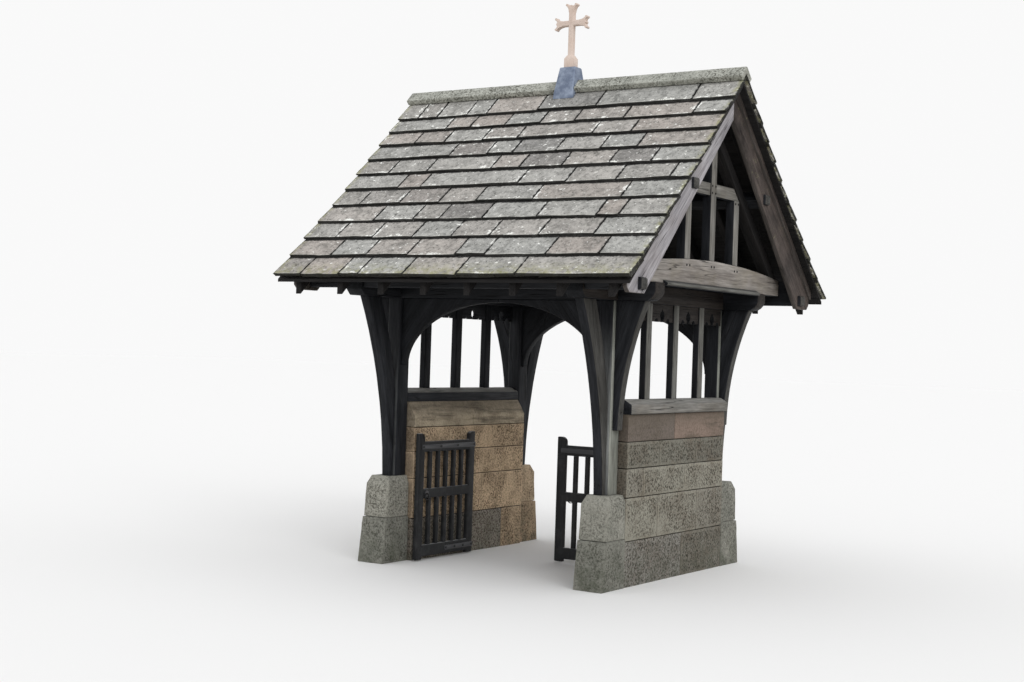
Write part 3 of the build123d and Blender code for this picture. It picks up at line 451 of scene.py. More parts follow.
@dataclass(frozen=True)
class SlateFinish:
    """Riven stone slates with pits, flecks and chains of lichen, moss at verges and eaves, painted shade at the
    joints and tail faces and a painted shadow under each tail.
    """

    name: str = "stone_slate"
    cool: Colour = paint(179, 179, 176)
    warm: Colour = paint(180, 172, 166)
    blue: Colour = paint(120, 124, 128)
    dark: Colour = paint(70, 70, 67)
    shadow: Colour = paint(20, 20, 20)
    pale: Colour = paint(214, 214, 206)
    lichen: Colour = paint(246, 247, 243)
    moss: Colour = paint(142, 142, 82)
    dark_clouds: Cloud = Cloud(7, 6, 0.7, 0.42, 0.66, 0.42)
    mottling: Cloud = Cloud(15, 5, 0.7, 0.5, 0.62, 0.4)
    dark_grain: Cloud = Cloud(34, 5, 0.75, 0.56, 0.62, 0.75)
    pale_grain: Cloud = Cloud(34, 5, 0.75, 0.44, 0.38, 0.3)
    blots: Cloud = Cloud(10, 6, 0.8, 0.62, 0.66, 0.8)
    settled: Cloud = Cloud(2.4, 3, 0.55, 0.42, 0.62, 0.16)
    flecks: Cloud = Cloud(22, 4, 0.66, 0.645, 0.67, 0.92)
    damp: Cloud = Cloud(16, 5, 0.7, 0.4, 0.6, 0.6)
    rim: Span = (0.06, 0.005)
    crust: Span = (0.63, 0.66)
    pale_tail: Span = (0.018, 0.006)
    verge_moss: Span = (ROOF_HALF_LENGTH - 0.07, ROOF_HALF_LENGTH - 0.02)
    eave_moss: Span = (EAVE_LEVEL + 0.12, EAVE_LEVEL)
    side_joint_shade: Span = (0.011, 0.003)
    shadow_below_tail: Span = (0.026, 0.015)
    tail_face_shade: Span = (0.006, 0.001)

    def edges(self, board: Board) -> list[Socket]:
        """Give the uneven distances from the nearer side, the tail and the tail of the slate above."""
        ragged = board.both(board.math("SUBTRACT", board.noise(board.place, 22, 5, 0.65), 0.5), 0.05)
        return [board.math("ADD", board.tone(name), ragged) for name in ("from_side", "from_tail", "from_head")]

    def face(self, board: Board) -> Socket:
        """Colour the riven face with its tone, mottling and pits.

        Args:
            board: The board in hand.

        Returns:
            The colour.
        """
        value = board.tone("stone_value")
        colour = board.blend(board.tone("stone_tone"), self.cool, self.warm)
        colour = board.blend(board.both(board.between(value, 0.12, 0.02), 0.45), colour, self.blue)
        colour = board.blend(1.0, colour, board.blend(value, grey(236), WHITE), "MULTIPLY")
        for cloud, over in ((self.dark_clouds, self.dark), (self.mottling, self.dark),
                            (self.dark_grain, self.dark), (self.pale_grain, self.pale),
                            (self.blots, self.dark)):
            colour = board.cover(colour, cloud, over)
        return colour

    def material(self) -> Material:
        """Make the material.

        Returns:
            The slate.
        """
        board = material_board(self.name)
        side, tail, head = self.edges(board)
        colour = self.face(board)
        rim = board.most(board.between(side, *self.rim), board.between(tail, *self.rim))
        chain = board.both(rim, board.cloud(self.settled), self.settled.share)
        crust = board.between(board.math("ADD", board.noise(board.place, 17, 6, 0.74), chain), *self.crust)
        flecks = board.cloud(self.flecks, board.run(Grain.ALONG_X, stretch=1.4, shift=4.2))
        colour = board.blend(board.both(board.most(crust, flecks), self.flecks.share), colour, self.lichen)
        colour = board.blend(board.both(board.between(tail, *self.pale_tail), 0.3), colour, self.pale)
        mossy = board.most(board.between(board.math("ABSOLUTE", board.axis(0)), *self.verge_moss),
                           board.between(board.axis(2), *self.eave_moss))
        colour = board.cover(colour, self.damp, self.moss, mossy)
        # Painted shade in the side joints and on each tail face, and a painted shadow on each slate under the
        # tail of the slate above.
        gap = board.most(board.between(side, *self.side_joint_shade), board.between(head, *self.shadow_below_tail),
                         board.between(board.tone("from_tail"), *self.tail_face_shade))
        colour = board.blend(board.both(gap, 0.95), colour, self.shadow)
        relief = board.relief(board.noise(board.place, 18, 6, 0.6), strength=0.7, depth=0.024)
        relief = board.relief(board.noise(board.place, 90, 4, 0.6), 0.5, 0.006, relief)
        return board.done(colour, 0.92, relief, sheen=0.3)


@dataclass(frozen=True)
class StoneFinish:
    """Sandstone ashlar, pecked or rubbed, with its own tone for each stone.

    The inner and outer pairs hold the tones between which each stone has its own.
    """

    name: str
    inner: Pair
    stain: Colour
    peck_depth: float = 0.006
    peck_scale: float = 44.0
    streak: float = 0.0
    foot_stain: float = 0.5
    peck_shade: float = 0.5
    contrast: float = 0.6
    end_shade: float = 0.0
    head_shade: float = 0.0
    outer: Pair | None = None
    outer_faces: Span = (1.12, 1.2)
    soot: Colour = paint(152, 150, 144)
    soot_share: float = 0.85
    end_shade_tone: Colour = paint(62, 55, 48)
    end_faces: Span = (0.9, 0.955)
    stains: Cloud = Cloud(5, 6, 0.65, 0.44, 0.72, 0.5)
    streaks: Cloud = Cloud(22, 4, 0.6, 0.48, 0.7)
    grit: Span = (0.47, 0.58)
    grit_tone: Colour = paint(98, 94, 86)
    gritty: Cloud = Cloud(2.6, 3, 0.55, 0.36, 0.58, 0.6)
    peck: Span = (0.34, 0.12)
    head: Span = (1.36, 1.46)
    foot: Span = (0.45, 0.02)
    foot_tone: Colour = paint(70, 74, 62)
    foot_clouds: Cloud = Cloud(7, 5, 0.7, 0.4, 0.62)

    def body(self, board: Board) -> Socket:
        """Colour the stone before stains and tool marks.

        Args:
            board: The board in hand.

        Returns:
            The colour.
        """
        inner = board.blend(board.tone("stone_tone"), *self.inner)
        if self.outer is None:
            return inner
        side = board.between(board.math("ABSOLUTE", board.axis(0)), *self.outer_faces)
        return board.blend(side, inner, board.blend(board.tone("stone_tone"), *self.outer))

    def material(self) -> Material:
        """Make the material.

        Returns:
            The stone.
        """
        board = material_board(self.name)
        colour = board.blend(board.both(board.tone("stone_soot"), self.soot_share), self.body(board), self.soot)
        # Painted shade on the end faces of the walls, where they meet the posts.
        ends = board.both(board.outward(1, *self.end_faces), self.end_shade)
        colour = board.blend(ends, colour, self.end_shade_tone)
        colour = board.blend(1.0, colour, board.blend(board.tone("stone_value"), grey(206), WHITE), "MULTIPLY")
        colour = board.cover(colour, self.stains, self.stain)
        if self.streak:
            lines = board.cloud(self.streaks, board.run(Grain.ALONG_Y, stretch=9, shift=2.2))
            colour = board.blend(board.both(lines, self.streak), colour, self.stain)
        grit = board.noise(board.place, 48, 6, 0.78)
        speck = board.blend(board.between(grit, *self.grit), WHITE, self.grit_tone)
        patch = board.both(board.cloud(self.gritty), self.contrast * self.gritty.share)
        patch = board.math("ADD", patch, self.contrast * (1 - self.gritty.share))
        colour = board.blend(board.most(patch, board.tone("stone_soot")), colour, speck, "MULTIPLY")
        pick = board.pits(self.peck_scale)
        colour = board.blend(board.both(board.between(pick, *self.peck), self.peck_shade), colour, self.stain)
        # Painted shade: darker towards the top of the wall.
        head = board.both(board.between(board.axis(2), *self.head), self.head_shade)
        colour = board.blend(head, colour, self.stain)
        foot = board.between(board.axis(2), *self.foot)
        colour = board.cover(colour, self.foot_clouds, self.foot_tone, foot, self.foot_stain)
        relief = board.relief(pick, 0.9, self.peck_depth)
        relief = board.relief(grit, 0.35, 0.003, relief)
        return board.done(colour, 0.93, relief, sheen=0.3)


@dataclass(frozen=True)
class LeadFinish:
    """Sheet lead with a dull bloom."""

    name: str = "sheet_lead"
    body: Colour = paint(100, 112, 134)
    bloom: Colour = paint(156, 168, 188)
    clouds: Cloud = Cloud(11, 5, 0.65, 0.4, 0.75)

    def material(self) -> Material:
        """Make the material.

        Returns:
            The lead.
        """
        board = material_board(self.name)
        dressed = board.noise(board.run(Grain.DOWN_SLOPE, stretch=3), 14, 2)
        colour = board.blend(board.cloud(self.clouds), self.body, self.bloom)
        return board.done(colour, 0.55, board.relief(dressed, strength=0.5, depth=0.012), metallic=0.25)


@dataclass(frozen=True)
class FloorFinish:
    """A plain pale floor that looks lighter than the light it throws on the object."""

    name: str = "pale_floor"
    seen: Colour = paint(233, 233, 233)
    thrown: Colour = paint(192, 188, 180)

    def material(self) -> Material:
        """Make the material."""
        board = material_board(self.name)
        return board.done(board.blend(board.direct_view(), self.thrown, self.seen), 0.95)


class Bench:
    """The modelling bench: one piece is worked at a time, with Blender's own tools."""

    @staticmethod
    def take(*pieces: Piece) -> None:
        """Put everything down and pick up pieces, the last of them active.

        Args:
            *pieces: The pieces, if any.
        """
        bpy.ops.object.select_all(action="DESELECT")
        for piece in pieces:
            piece.select_set(True)
            bpy.context.view_layer.objects.active = piece

    @staticmethod
    @contextmanager
    def edit(piece: Piece, select: str | None = "SELECT") -> Iterator[None]:
        """Open the mesh of a piece, and close it after the work.

        Args:
            piece: The piece.
            select: What is done to the selection first, in Blender's words, if anything.

        Yields:
            Nothing, while the mesh is open.
        """
        Bench.take(piece)
        bpy.ops.object.mode_set(mode="EDIT")
        if select:
            bpy.ops.mesh.select_all(action=select)
        yield
        bpy.ops.object.mode_set(mode="OBJECT")

    @staticmethod
    def block(low: Point, high: Point) -> Piece:
        """Add a squared block.

        Args:
            low: Its lowest corner.
            high: Its highest corner.

        Returns:
            The block, with its place in its mesh.
        """
        Bench.take()
        middle = [(a + b) / 2 for a, b in zip(low, high)]
        size = [b - a for a, b in zip(low, high)]
        bpy.ops.mesh.primitive_cube_add(size=1, location=middle, scale=size)
        bpy.ops.object.transform_apply(location=True, rotation=True, scale=True)
        return bpy.context.object

    @staticmethod
    def cut(piece: Piece, point: Point, normal: Point) -> None:
        """Saw off what lies beyond a plane through a point, on the side that its normal looks to."""
        with Bench.edit(piece):
            bpy.ops.mesh.bisect(plane_co=point, plane_no=normal, use_fill=True, clear_outer=True)

    @staticmethod
    def panel(piece: Piece, direction: Point, margin: float, proud: float, slot: int) -> None:
        """Work a raised panel inside a drafted margin.

        Args:
            piece: The stone.
            direction: The way its face looks.
            margin: Width of the margin.
            proud: How far the panel stands out.
            slot: Material slot of the panel.
        """
        outward = Vector(direction)
        squarely = 0.9
        with Bench.edit(piece, "DESELECT"):
            bpy.ops.mesh.select_mode(type="FACE")
        for face in piece.data.polygons:
            face.select = face.normal.dot(outward) > squarely
        with Bench.edit(piece, None):
            bpy.ops.mesh.inset(thickness=margin)
            bpy.ops.transform.translate(value=outward * proud)
        for face in piece.data.polygons:
            if face.select:
                face.material_index = slot

    @staticmethod
    def divide(piece: Piece, cuts: int) -> None:
        """Divide every face by so many cuts across each edge."""
        with Bench.edit(piece):
            bpy.ops.mesh.subdivide(number_cuts=cuts)

    @staticmethod
    def modify(piece: Piece, kind: str, **settings: object) -> None:
        """Apply one modifier.

        Args:
            piece: The piece.
            kind: Blender's name for the modifier.
            **settings: Its properties.
        """
        modifier = piece.modifiers.new(kind.lower(), kind)
        for name, value in settings.items():
            setattr(modifier, name, value)
        Bench.take(piece)
        bpy.ops.object.modifier_apply(modifier=modifier.name)

    @staticmethod
    def ease(piece: Piece, width: float, segments: int = 2, angle: float = 32.0) -> None:
        """Round the arrises between faces that turn by more than an angle in degrees."""
        Bench.modify(piece, "BEVEL", width=width, segments=segments, limit_method="ANGLE",
                     angle_limit=math.radians(angle), harden_normals=False)

    @staticmethod
    def join(name: str, pieces: Sequence[Piece]) -> Piece:
        """Make one piece of several.

        Args:
            name: Name of the whole.
            pieces: The parts.

        Returns:
            The whole.
        """
        Bench.take(*pieces)
        bpy.ops.object.join()
        whole = bpy.context.object
        whole.name = whole.data.name = name
        return whole

    @staticmethod
    def coat(piece: Piece, finishes: Iterable[Material]) -> None:
        """Give a piece its materials, one for each slot."""
        for finish in finishes:
            piece.data.materials.append(finish)

    @staticmethod
    def mark(piece: Piece, **numbers: float) -> None:
        """Write named numbers on every face.

        Args:
            piece: The piece.
            **numbers: The mesh attributes.
        """
        for name, number in numbers.items():
            layer = piece.data.attributes.new(name, "FLOAT", "FACE")
            layer.data.foreach_set("value", [number] * len(piece.data.polygons))

    @staticmethod
    def cast(node: str, finish: Material) -> Piece:
        """Take a clean copy of a CAD node, with whole flat faces.

        Args:
            node: Name of the node.
            finish: Its material.

        Returns:
            The copy.
        """
        piece = bpy.data.objects.new(f"{node}_worn", bpy.data.objects[node].data.copy())
        bpy.context.scene.collection.objects.link(piece)
        piece.data.materials.clear()
        with Bench.edit(piece):
            bpy.ops.mesh.remove_doubles(threshold=0.0001)
            bpy.ops.mesh.dissolve_limited(angle_limit=math.radians(1.5))
        Bench.coat(piece, [finish])
        return piece

    @staticmethod
    def smooth(piece: Piece, angle: float = 30.0) -> None:
        """Shade smoothly the bends of less than an angle in degrees."""
        Bench.take(piece)
        bpy.ops.object.shade_smooth_by_angle(angle=math.radians(angle))

    @staticmethod
    def fit(piece: Piece, slot: str, node: str = "", body: str = "root") -> None:
        """Set a finished piece on its body.

        Args:
            piece: The piece.
            slot: Name of the record's material slot; not used.
            node: CAD node that it stands for, if any.
            body: Name of the CAD body that it moves with.
        """
        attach(piece, body)
        if node:
            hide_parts(node)
        LOG.info("%s: %d faces on %s", piece.name, len(piece.data.polygons), body)

    @staticmethod
    def finish(piece: Piece, width: float, slot: str, node: str, body: str = "root") -> None:
        """Wear the arrises of a piece, shade it and set it on its body.

        Args:
            piece: The piece.
            width: Wear of the arrises.
            slot: Name of the record's material slot.
            node: CAD node that it stands for.
            body: Name of the CAD body that it moves with.
        """
        Bench.ease(piece, width)
        Bench.smooth(piece)
        Bench.fit(piece, slot, node, body)


@dataclass
class SlateSlope:
    """The courses of stone slates on one slope, and the short course under the eave.

    The spans near the end are the limits of the random differences between slates.
    """

    end: str
    joints: Sequence[Sequence[float]]
    seed: int
    half_length: float = ROOF_HALF_LENGTH
    eave_reach: float = 2.044
    level: float = 4.605
    pitch: float = math.radians(43.5)
    tail: float = 0.022
    sag: float = 0.045
    first_tail: float = 0.247
    top_share: float = 0.72
    first_head: float = 0.03195
    first_drop: float = 0.0176
    joint: float = 0.009
    lap: float = 0.03
    cuts: int = 3
    arris: float = 0.0032
    under_head: Span = (0.03, 0.046)
    under_tail: float = 0.008
    under_joint: float = 0.006
    under_verge: float = 0.004
    under_least: float = 0.05
    under_width: Span = (0.28, 0.52)
    slip: Span = (-0.011, 0.008)
    lift: Span = (0.0, 0.005)
    skew: Span = (-0.012, 0.012)
    chip: Span = (-0.006, 0.006)
    riven: Span = (-0.0012, 0.0012)
    wander: Span = (-0.0015, 0.0015)
    verge_reach: Span = (-0.004, 0.012)
    thicker: Span = (-0.004, 0.003)

    def tails(self) -> list[float]:
        """Space the tails from the ridge, in gauges that grow towards the eave.

        Returns:
            Distances from the ridge.
        """
        steps = len(self.joints) - 1
        weights = [self.top_share + (1 - self.top_share) * step / (steps - 1) for step in range(steps)]
        unit = (self.eave_reach - self.first_tail) / sum(weights)
        places = [self.first_tail]
        for weight in weights:
            places.append(places[-1] + weight * unit)
        return places

    def height(self, distance: float, drop: float = 0.0) -> Vector:
        """Find a point at a depth under the slate line, in the plane of Y and Z.

        Args:
            distance: Distance of the point above it from the ridge.
            drop: Depth, square to the slope.

        Returns:
            The point, as distance from the ridge and height.
        """
        hollow = self.sag * math.sin(math.pi * distance / self.eave_reach)
        line = self.level - math.tan(self.pitch) * distance - hollow
        return Vector((distance - drop * math.sin(self.pitch), line - drop * math.cos(self.pitch)))

    def slate(self, span: Span, head: Vector, tail: Vector, thickness: float, chance: random.Random) -> Piece:
        """Rive one slate and lay it on its course.

        Args:
            span: Its limits along the ridge.
            head: Where its top meets the slate above, as distance and height.
            tail: Its tail, as distance and height.
            thickness: Thickness at the tail.
            chance: The source of small differences.

        Returns:
            The slate.
        """
        down = (tail - head).normalized()
        out = Vector((-down.y, down.x))
        length = (tail - head).length + self.lap
        width = span[1] - span[0]
        piece = Bench.block((0, 0, -1), (1, 1, 0))
        Bench.divide(piece, self.cuts)
        slip, lift, skew = (chance.uniform(*limits) for limits in (self.slip, self.lift, self.skew))
        grades: dict[str, list[float]] = {"from_side": [], "from_tail": [], "from_head": []}
        for vertex in piece.data.vertices:
            along, across, depth = vertex.co
            at_tail = along > 0.99
            ragged = (chance.uniform(*self.chip) if at_tail else 0.0) + slip + skew * (across - 0.5)
            run = along * length - self.lap + (ragged if at_tail else slip * along)
            rise = depth * thickness + lift * along + chance.uniform(*self.riven)
            for name, value in (("from_side", min(across, 1 - across) * width),
                                ("from_tail", (1 - along) * length), ("from_head", along * length - self.lap)):
                grades[name].append(value)
            spot = head + down * run + out * rise
            side = span[0] + across * width + (chance.uniform(*self.wander) if across in (0.0, 1.0) else 0.0)
            vertex.co = (side, ENDS[self.end] * spot.x, spot.y)
        if ENDS[self.end] > 0:
            piece.data.flip_normals()
        for name, values in grades.items():
            piece.data.attributes.new(name, "FLOAT", "POINT").data.foreach_set("value", values)
        Bench.mark(piece, stone_tone=chance.random() ** 2, stone_value=chance.random())
        return piece

    def under_course(self, tails: Sequence[float], chance: random.Random) -> Iterator[Piece]:
        """Lay the short slates that show under the eave.

        Args:
            tails: Distances of the tails above from the ridge.
            chance: The source of small differences.

        Yields:
            The slates.
        """
        head = self.height(tails[-2] + self.under_head[0], self.under_head[1])
        tail = self.height(tails[-1] - self.under_tail, self.tail)
        verge = self.half_length - self.under_verge
        place = -verge
        while place < self.half_length - self.under_least:
            stop = min(place + chance.uniform(*self.under_width), verge)
            yield self.slate((place, stop - self.under_joint), head, tail, self.tail, chance)
            place = stop

    def build(self, finish: Material) -> None:
        """Lay every course and ease the arrises.

        Args:
            finish: The slate material.
        """
        chance = random.Random(self.seed)
        tails = self.tails()
        heads = [self.height(self.first_head, self.first_drop)]
        heads.extend(self.height(place, self.tail) for place in tails)
        slates: list[Piece] = []
        for joints, head, place in zip(self.joints, heads, tails):
            limits = [-self.half_length, *joints, self.half_length]
            for start, stop in pairwise(limits):
                first = start + (self.joint / 2 if start > limits[0] else chance.uniform(*self.verge_reach))
                last = stop - (self.joint / 2 if stop < limits[-1] else chance.uniform(*self.verge_reach))
                thickness = self.tail + chance.uniform(*self.thicker)
                slates.append(self.slate((first, last), head, self.height(place), thickness, chance))
        slates.extend(self.under_course(tails, chance))
        for slate in slates:
            Bench.coat(slate, [finish])
        whole = Bench.join(f"slates_{self.end}_laid", slates)
        Bench.ease(whole, self.arris, 1, 50)
        Bench.smooth(whole, 35)
        Bench.fit(whole, "stone_slates", f"slates_{self.end}")


@dataclass(frozen=True)
class CrownPiece:
    """A ridge or finial node with softened arrises."""

    node: str
    slot: str
    width: float

    def build(self, finish: Material) -> None:
        """Dress the node.

        Args:
            finish: Its material.
        """
        piece = Bench.cast(self.node, finish)
        Bench.mark(piece, stone_tone=0.4, stone_value=0.6)
        Bench.ease(piece, self.width, 3)
        Bench.smooth(piece, 40)
        Bench.fit(piece, self.slot, self.node)


class Slot(IntEnum):
    """Material slots of dressed stones, in the order in which their materials are given."""

    MARGIN = 0
    PANEL = 1
    HEAD = 2
    MORTAR = 3


@dataclass(frozen=True)
class Masonry:
    """How stones laid over a bed of mortar are worn together."""

    arris: float
    angle: float
    waves: float
    wave_size: float

    def lay(self, name: str, stones: Sequence[Piece], signs: tuple[int, int], slot: str, node: str) -> None:
        """Join the stones, wear them, make them uneven and turn them to their corner.

        Args:
            name: Name of the whole.
            stones: The stones and their bed.
            signs: -1 for each of X and Y that is mirrored, otherwise 1.
            slot: Name of the record's material slot.
            node: CAD node that the whole stands for.
        """
        whole = Bench.join(name, stones)
        Bench.ease(whole, self.arris, 2, self.angle)
        clouds = bpy.data.textures.new(f"{name}_waves", "CLOUDS")
        clouds.noise_scale = self.wave_size
        clouds.noise_depth = 2
        Bench.modify(whole, "DISPLACE", texture=clouds, strength=self.waves, mid_level=0.5)
        whole.data.transform(Matrix.Diagonal((*signs, 1, 1)))
        if signs[0] * signs[1] < 0:
            whole.data.flip_normals()
        Bench.smooth(whole, 40)
        Bench.fit(whole, slot, node)


@dataclass
class DwarfWall:
    """One dwarf wall of coursed stones with a sloped head."""

    side: str
    joints: Sequence[Sequence[float]]
    values: Sequence[float]
    sooty: Sequence[int]
    seed: int
    levels: Sequence[float] = (0.0, 0.40, 0.78, 1.035, 1.268, 1.508)
    inner: float = 1.0
    outer: float = 1.315
    half_length: float = 0.96
    slope_foot: float = 1.37
    slope_top: float = 1.085
    joint: float = 0.009
    panels: tuple[tuple[int, float, float], ...] = ((1, 0.024, 0.003), (-1, 0.008, 0.002))
    cuts: int = 5
    tone_spread: float = 0.8
    value_spread: float = 0.12
    core_inset: Point = (0.006, 0.02, 0.01)
    core_foot: float = 0.002
    wear: Masonry = Masonry(arris=0.006, angle=50, waves=0.006, wave_size=0.09)

    def stone(self, number: int, course: int, span: Span, finishes: Sequence[Material],
              chance: random.Random) -> Piece:
        """Cut one stone of the wall.

        Args:
            number: Number of the stone.
            course: Number of its course.
            span: Its limits along Y.
            finishes: Materials of the margins, the pecked panels, the rubbed head and the mortar.
            chance: The source of small differences.

        Returns:
            The stone.
        """
        gap = self.joint / 2
        head = course == len(self.levels) - 2
        low = self.levels[course] + (gap if course else 0)
        high = self.levels[course + 1] - (0 if head else gap)
        piece = Bench.block((self.inner, span[0] + gap, low), (self.outer, span[1] - gap, high))
        if head:
            Bench.cut(piece, (self.inner, 0, self.slope_foot),
                      (self.slope_foot - self.levels[-1], 0, self.slope_top - self.inner))
        Bench.coat(piece, finishes)
        for face in piece.data.polygons:
            face.material_index = Slot.HEAD if head else Slot.MARGIN
        for way, margin, proud in () if head else self.panels:
            Bench.panel(piece, (way, 0, 0), margin, proud, Slot.PANEL)
        Bench.divide(piece, self.cuts)
        Bench.mark(piece, stone_tone=chance.random() * self.tone_spread,
                   stone_value=self.values[course] + chance.uniform(-self.value_spread, self.value_spread),
                   stone_soot=float(number in self.sooty))
        return piece

    def build(self, finishes: Sequence[Material]) -> None:
        """Lay the wall over a bed of mortar.

        Args:
            finishes: Materials of the margins, the pecked panels, the rubbed head and the mortar.
        """
        chance = random.Random(self.seed)
        stones: list[Piece] = []
        for course, cuts in enumerate(self.joints):
            for span in pairwise((-self.half_length, *cuts, self.half_length)):
                stones.append(self.stone(len(stones), course, span, finishes, chance))
        across, along, down = self.core_inset
        core = Bench.block((self.inner + across, along - self.half_length, self.core_foot),
                           (self.outer - across, self.half_length - along, self.slope_foot - down))
        Bench.coat(core, [finishes[Slot.MORTAR]])
        Bench.mark(core, stone_tone=0.5, stone_value=0.0)
        self.wear.lay(f"dwarf_wall_{self.side}_coursed", [core, *stones], (SIDES[self.side], 1), "wall_stone",
                      f"side_wall_{self.side}")


@dataclass
class PostBase:
    """One battered base of two stones with a chamfered head."""

    end: str
    side: str
    inner: float = 1.047
    width: float = 0.268
    plinth: float = 0.008
    back: float = 0.96
    foot_y: float = 1.350
    joint_y: float = 1.297
    shoulder_y: float = 1.264
    top_y: float = 1.224
    joint_level: float = 0.425
    height: float = 0.810
    chamfer: float = 0.075
    chamfer_side: float = 0.028
    joint: float = 0.006
    margin: float = 0.022
    panels: tuple[tuple[Point, float], ...] = (
        ((0, 0.993, 0.115), 0.003), ((-1, 0, 0), 0.002), ((1, 0, 0), 0.002))
    cuts: int = 5
    lowest_values: Span = (0.15, 0.5)
    value_spread: float = 0.3
    bed_inset: Point = (0.006, 0.002, 0.004)
    bed_levels: Span = (0.1, 0.7)
    wear: Masonry = Masonry(arris=0.008, angle=40, waves=0.007, wave_size=0.07)

    def course(self, low: float, high: float, spread: float, reach: float) -> Piece:
        """Add the block of one course, so far out at the sides and as far as a Y."""
        return Bench.block((self.inner - spread, self.back, low),
                           (self.inner + self.width + spread, reach, high))

    def lower(self) -> Piece:
        """Cut the battered lower stone.

        Returns:
            The stone.
        """
        stone = self.course(0.0, self.joint_level - self.joint / 2, self.plinth, self.foot_y)
        Bench.cut(stone, (0, self.foot_y, 0), (0, self.joint_level, self.foot_y - self.joint_y))
        return stone

    def upper(self) -> Piece:
        """Cut the upper stone with its batter and chamfers.

        Returns:
            The stone.
        """
        shoulder = self.height - self.chamfer
        start = self.joint_y - self.plinth
        stone = self.course(self.joint_level + self.joint / 2, self.height, 0.0, start)
        Bench.cut(stone, (0, start, self.joint_level),
                  (0, shoulder - self.joint_level, start - self.shoulder_y))
        Bench.cut(stone, (0, self.shoulder_y, shoulder), (0, self.chamfer, self.shoulder_y - self.top_y))
        for edge, way in ((self.inner, -1), (self.inner + self.width, 1)):
            Bench.cut(stone, (edge, 0, shoulder), (way * self.chamfer, 0, self.chamfer_side))
        return stone

    def build(self, finishes: Sequence[Material]) -> None:
        """Cut both stones, bed them and turn them to their corner.

        Args:
            finishes: Materials of the margins and of the pecked panels.
        """
        chance = random.Random(f"{self.end}{self.side}")
        stones = [self.lower(), self.upper()]
        for stone, lowest in zip(stones, self.lowest_values):
            Bench.coat(stone, finishes)
            for direction, proud in self.panels:
                Bench.panel(stone, direction, self.margin, proud, Slot.PANEL)
            Bench.divide(stone, self.cuts)
            Bench.mark(stone, stone_tone=chance.random(),
                       stone_value=lowest + self.value_spread * chance.random())
        across, behind, ahead = self.bed_inset
        bed = Bench.block((self.inner + across, self.back + behind, self.bed_levels[0]),
                          (self.inner + self.width - across, self.shoulder_y - ahead, self.bed_levels[1]))
        Bench.coat(bed, [finishes[Slot.MARGIN]])
        Bench.mark(bed, stone_tone=0.5, stone_value=0.0)
        corner = f"base_{self.end}_{self.side}"
        self.wear.lay(f"{corner}_stones", [bed, *stones], (SIDES[self.side], ENDS[self.end]), "base_stone",
                      corner)


DARK = pair(28, 30, 34, 58, 60, 65)
# Painted shade: the darkest sheltered tones, for the head timbers under the eaves and the inner faces of the
# screens.
DEEP_SHADE = pair(23, 25, 28, 44, 46, 51)
BROWN = pair(25, 25, 26, 46, 44, 44)


class Weathering(Enum):
    """How a timber has weathered where it is not sheltered; the head, screen and inner tones also paint shade.
    """

    FRAME = OakFinish("frame_oak", DARK, pair(120, 123, 117, 182, 185, 177), paint(98, 94, 86), 0.4,
                      front=pair(92, 94, 95, 162, 165, 164))
    BRACE = OakFinish("brace_oak", DARK, pair(60, 60, 58, 102, 101, 99), paint(60, 57, 53), 0.4)
    # Painted shade: the head timbers take dark tones for the shade of the tie and roof over them.
    HEAD = OakFinish("shaded_head_oak", DEEP_SHADE, pair(34, 31, 30, 62, 57, 54), paint(52, 45, 42), 0.5)
    SCREEN = OakFinish("screen_oak", DEEP_SHADE, pair(90, 90, 87, 142, 142, 138), paint(96, 91, 84), 0.4,
                       rained=0.25)
    GABLE = OakFinish("gable_oak", DARK, pair(106, 105, 101, 162, 160, 156), paint(118, 110, 99), 0.4,
                      rained=0.8)
    BARGE = OakFinish("barge_oak", pair(78, 74, 72, 114, 109, 107), pair(150, 147, 152, 206, 204, 210),
                      paint(140, 126, 120), 0.35, lichen=paint(150, 150, 112),
                      behind=pair(44, 39, 37, 84, 77, 74))
    TIE = OakFinish("tie_oak", DARK, pair(122, 115, 110, 176, 171, 166), paint(134, 126, 104), 0.5,
                    lichen=paint(158, 154, 120), rained=0.9)
    # Painted shade: the timbers inside the roof are dark brown in both tones for the shade under the roof; the
    # pegs take the same oak for their end grain.
    INNER = OakFinish("inner_oak", BROWN, BROWN, paint(32, 29, 28), 0.4)


@cache
def oak(kind: Weathering, grain: Grain) -> Material:
    """Give an oak material, made once for each weathering and grain."""
    return kind.value.material(grain)


class Wear(Enum):
    """Width of the worn arrises of a timber."""

    BOARD = 0.002
    THIN = 0.003
    BEAM = 0.005
    POST = 0.006
    CURVED = 0.007


class Timber(NamedTuple):
    """A CAD node of oak, with the record's material slot and the way it is finished."""

    node: str
    slot: str
    kind: Weathering
    grain: Grain
    wear: Wear = Wear.BEAM

    def build(self, place: str) -> None:
        """Stand a worn copy for the node at a place, the side or end that its name holds."""
        node = self.node.format(place)
        Bench.finish(Bench.cast(node, oak(self.kind, self.grain)), self.wear.value, self.slot, node)


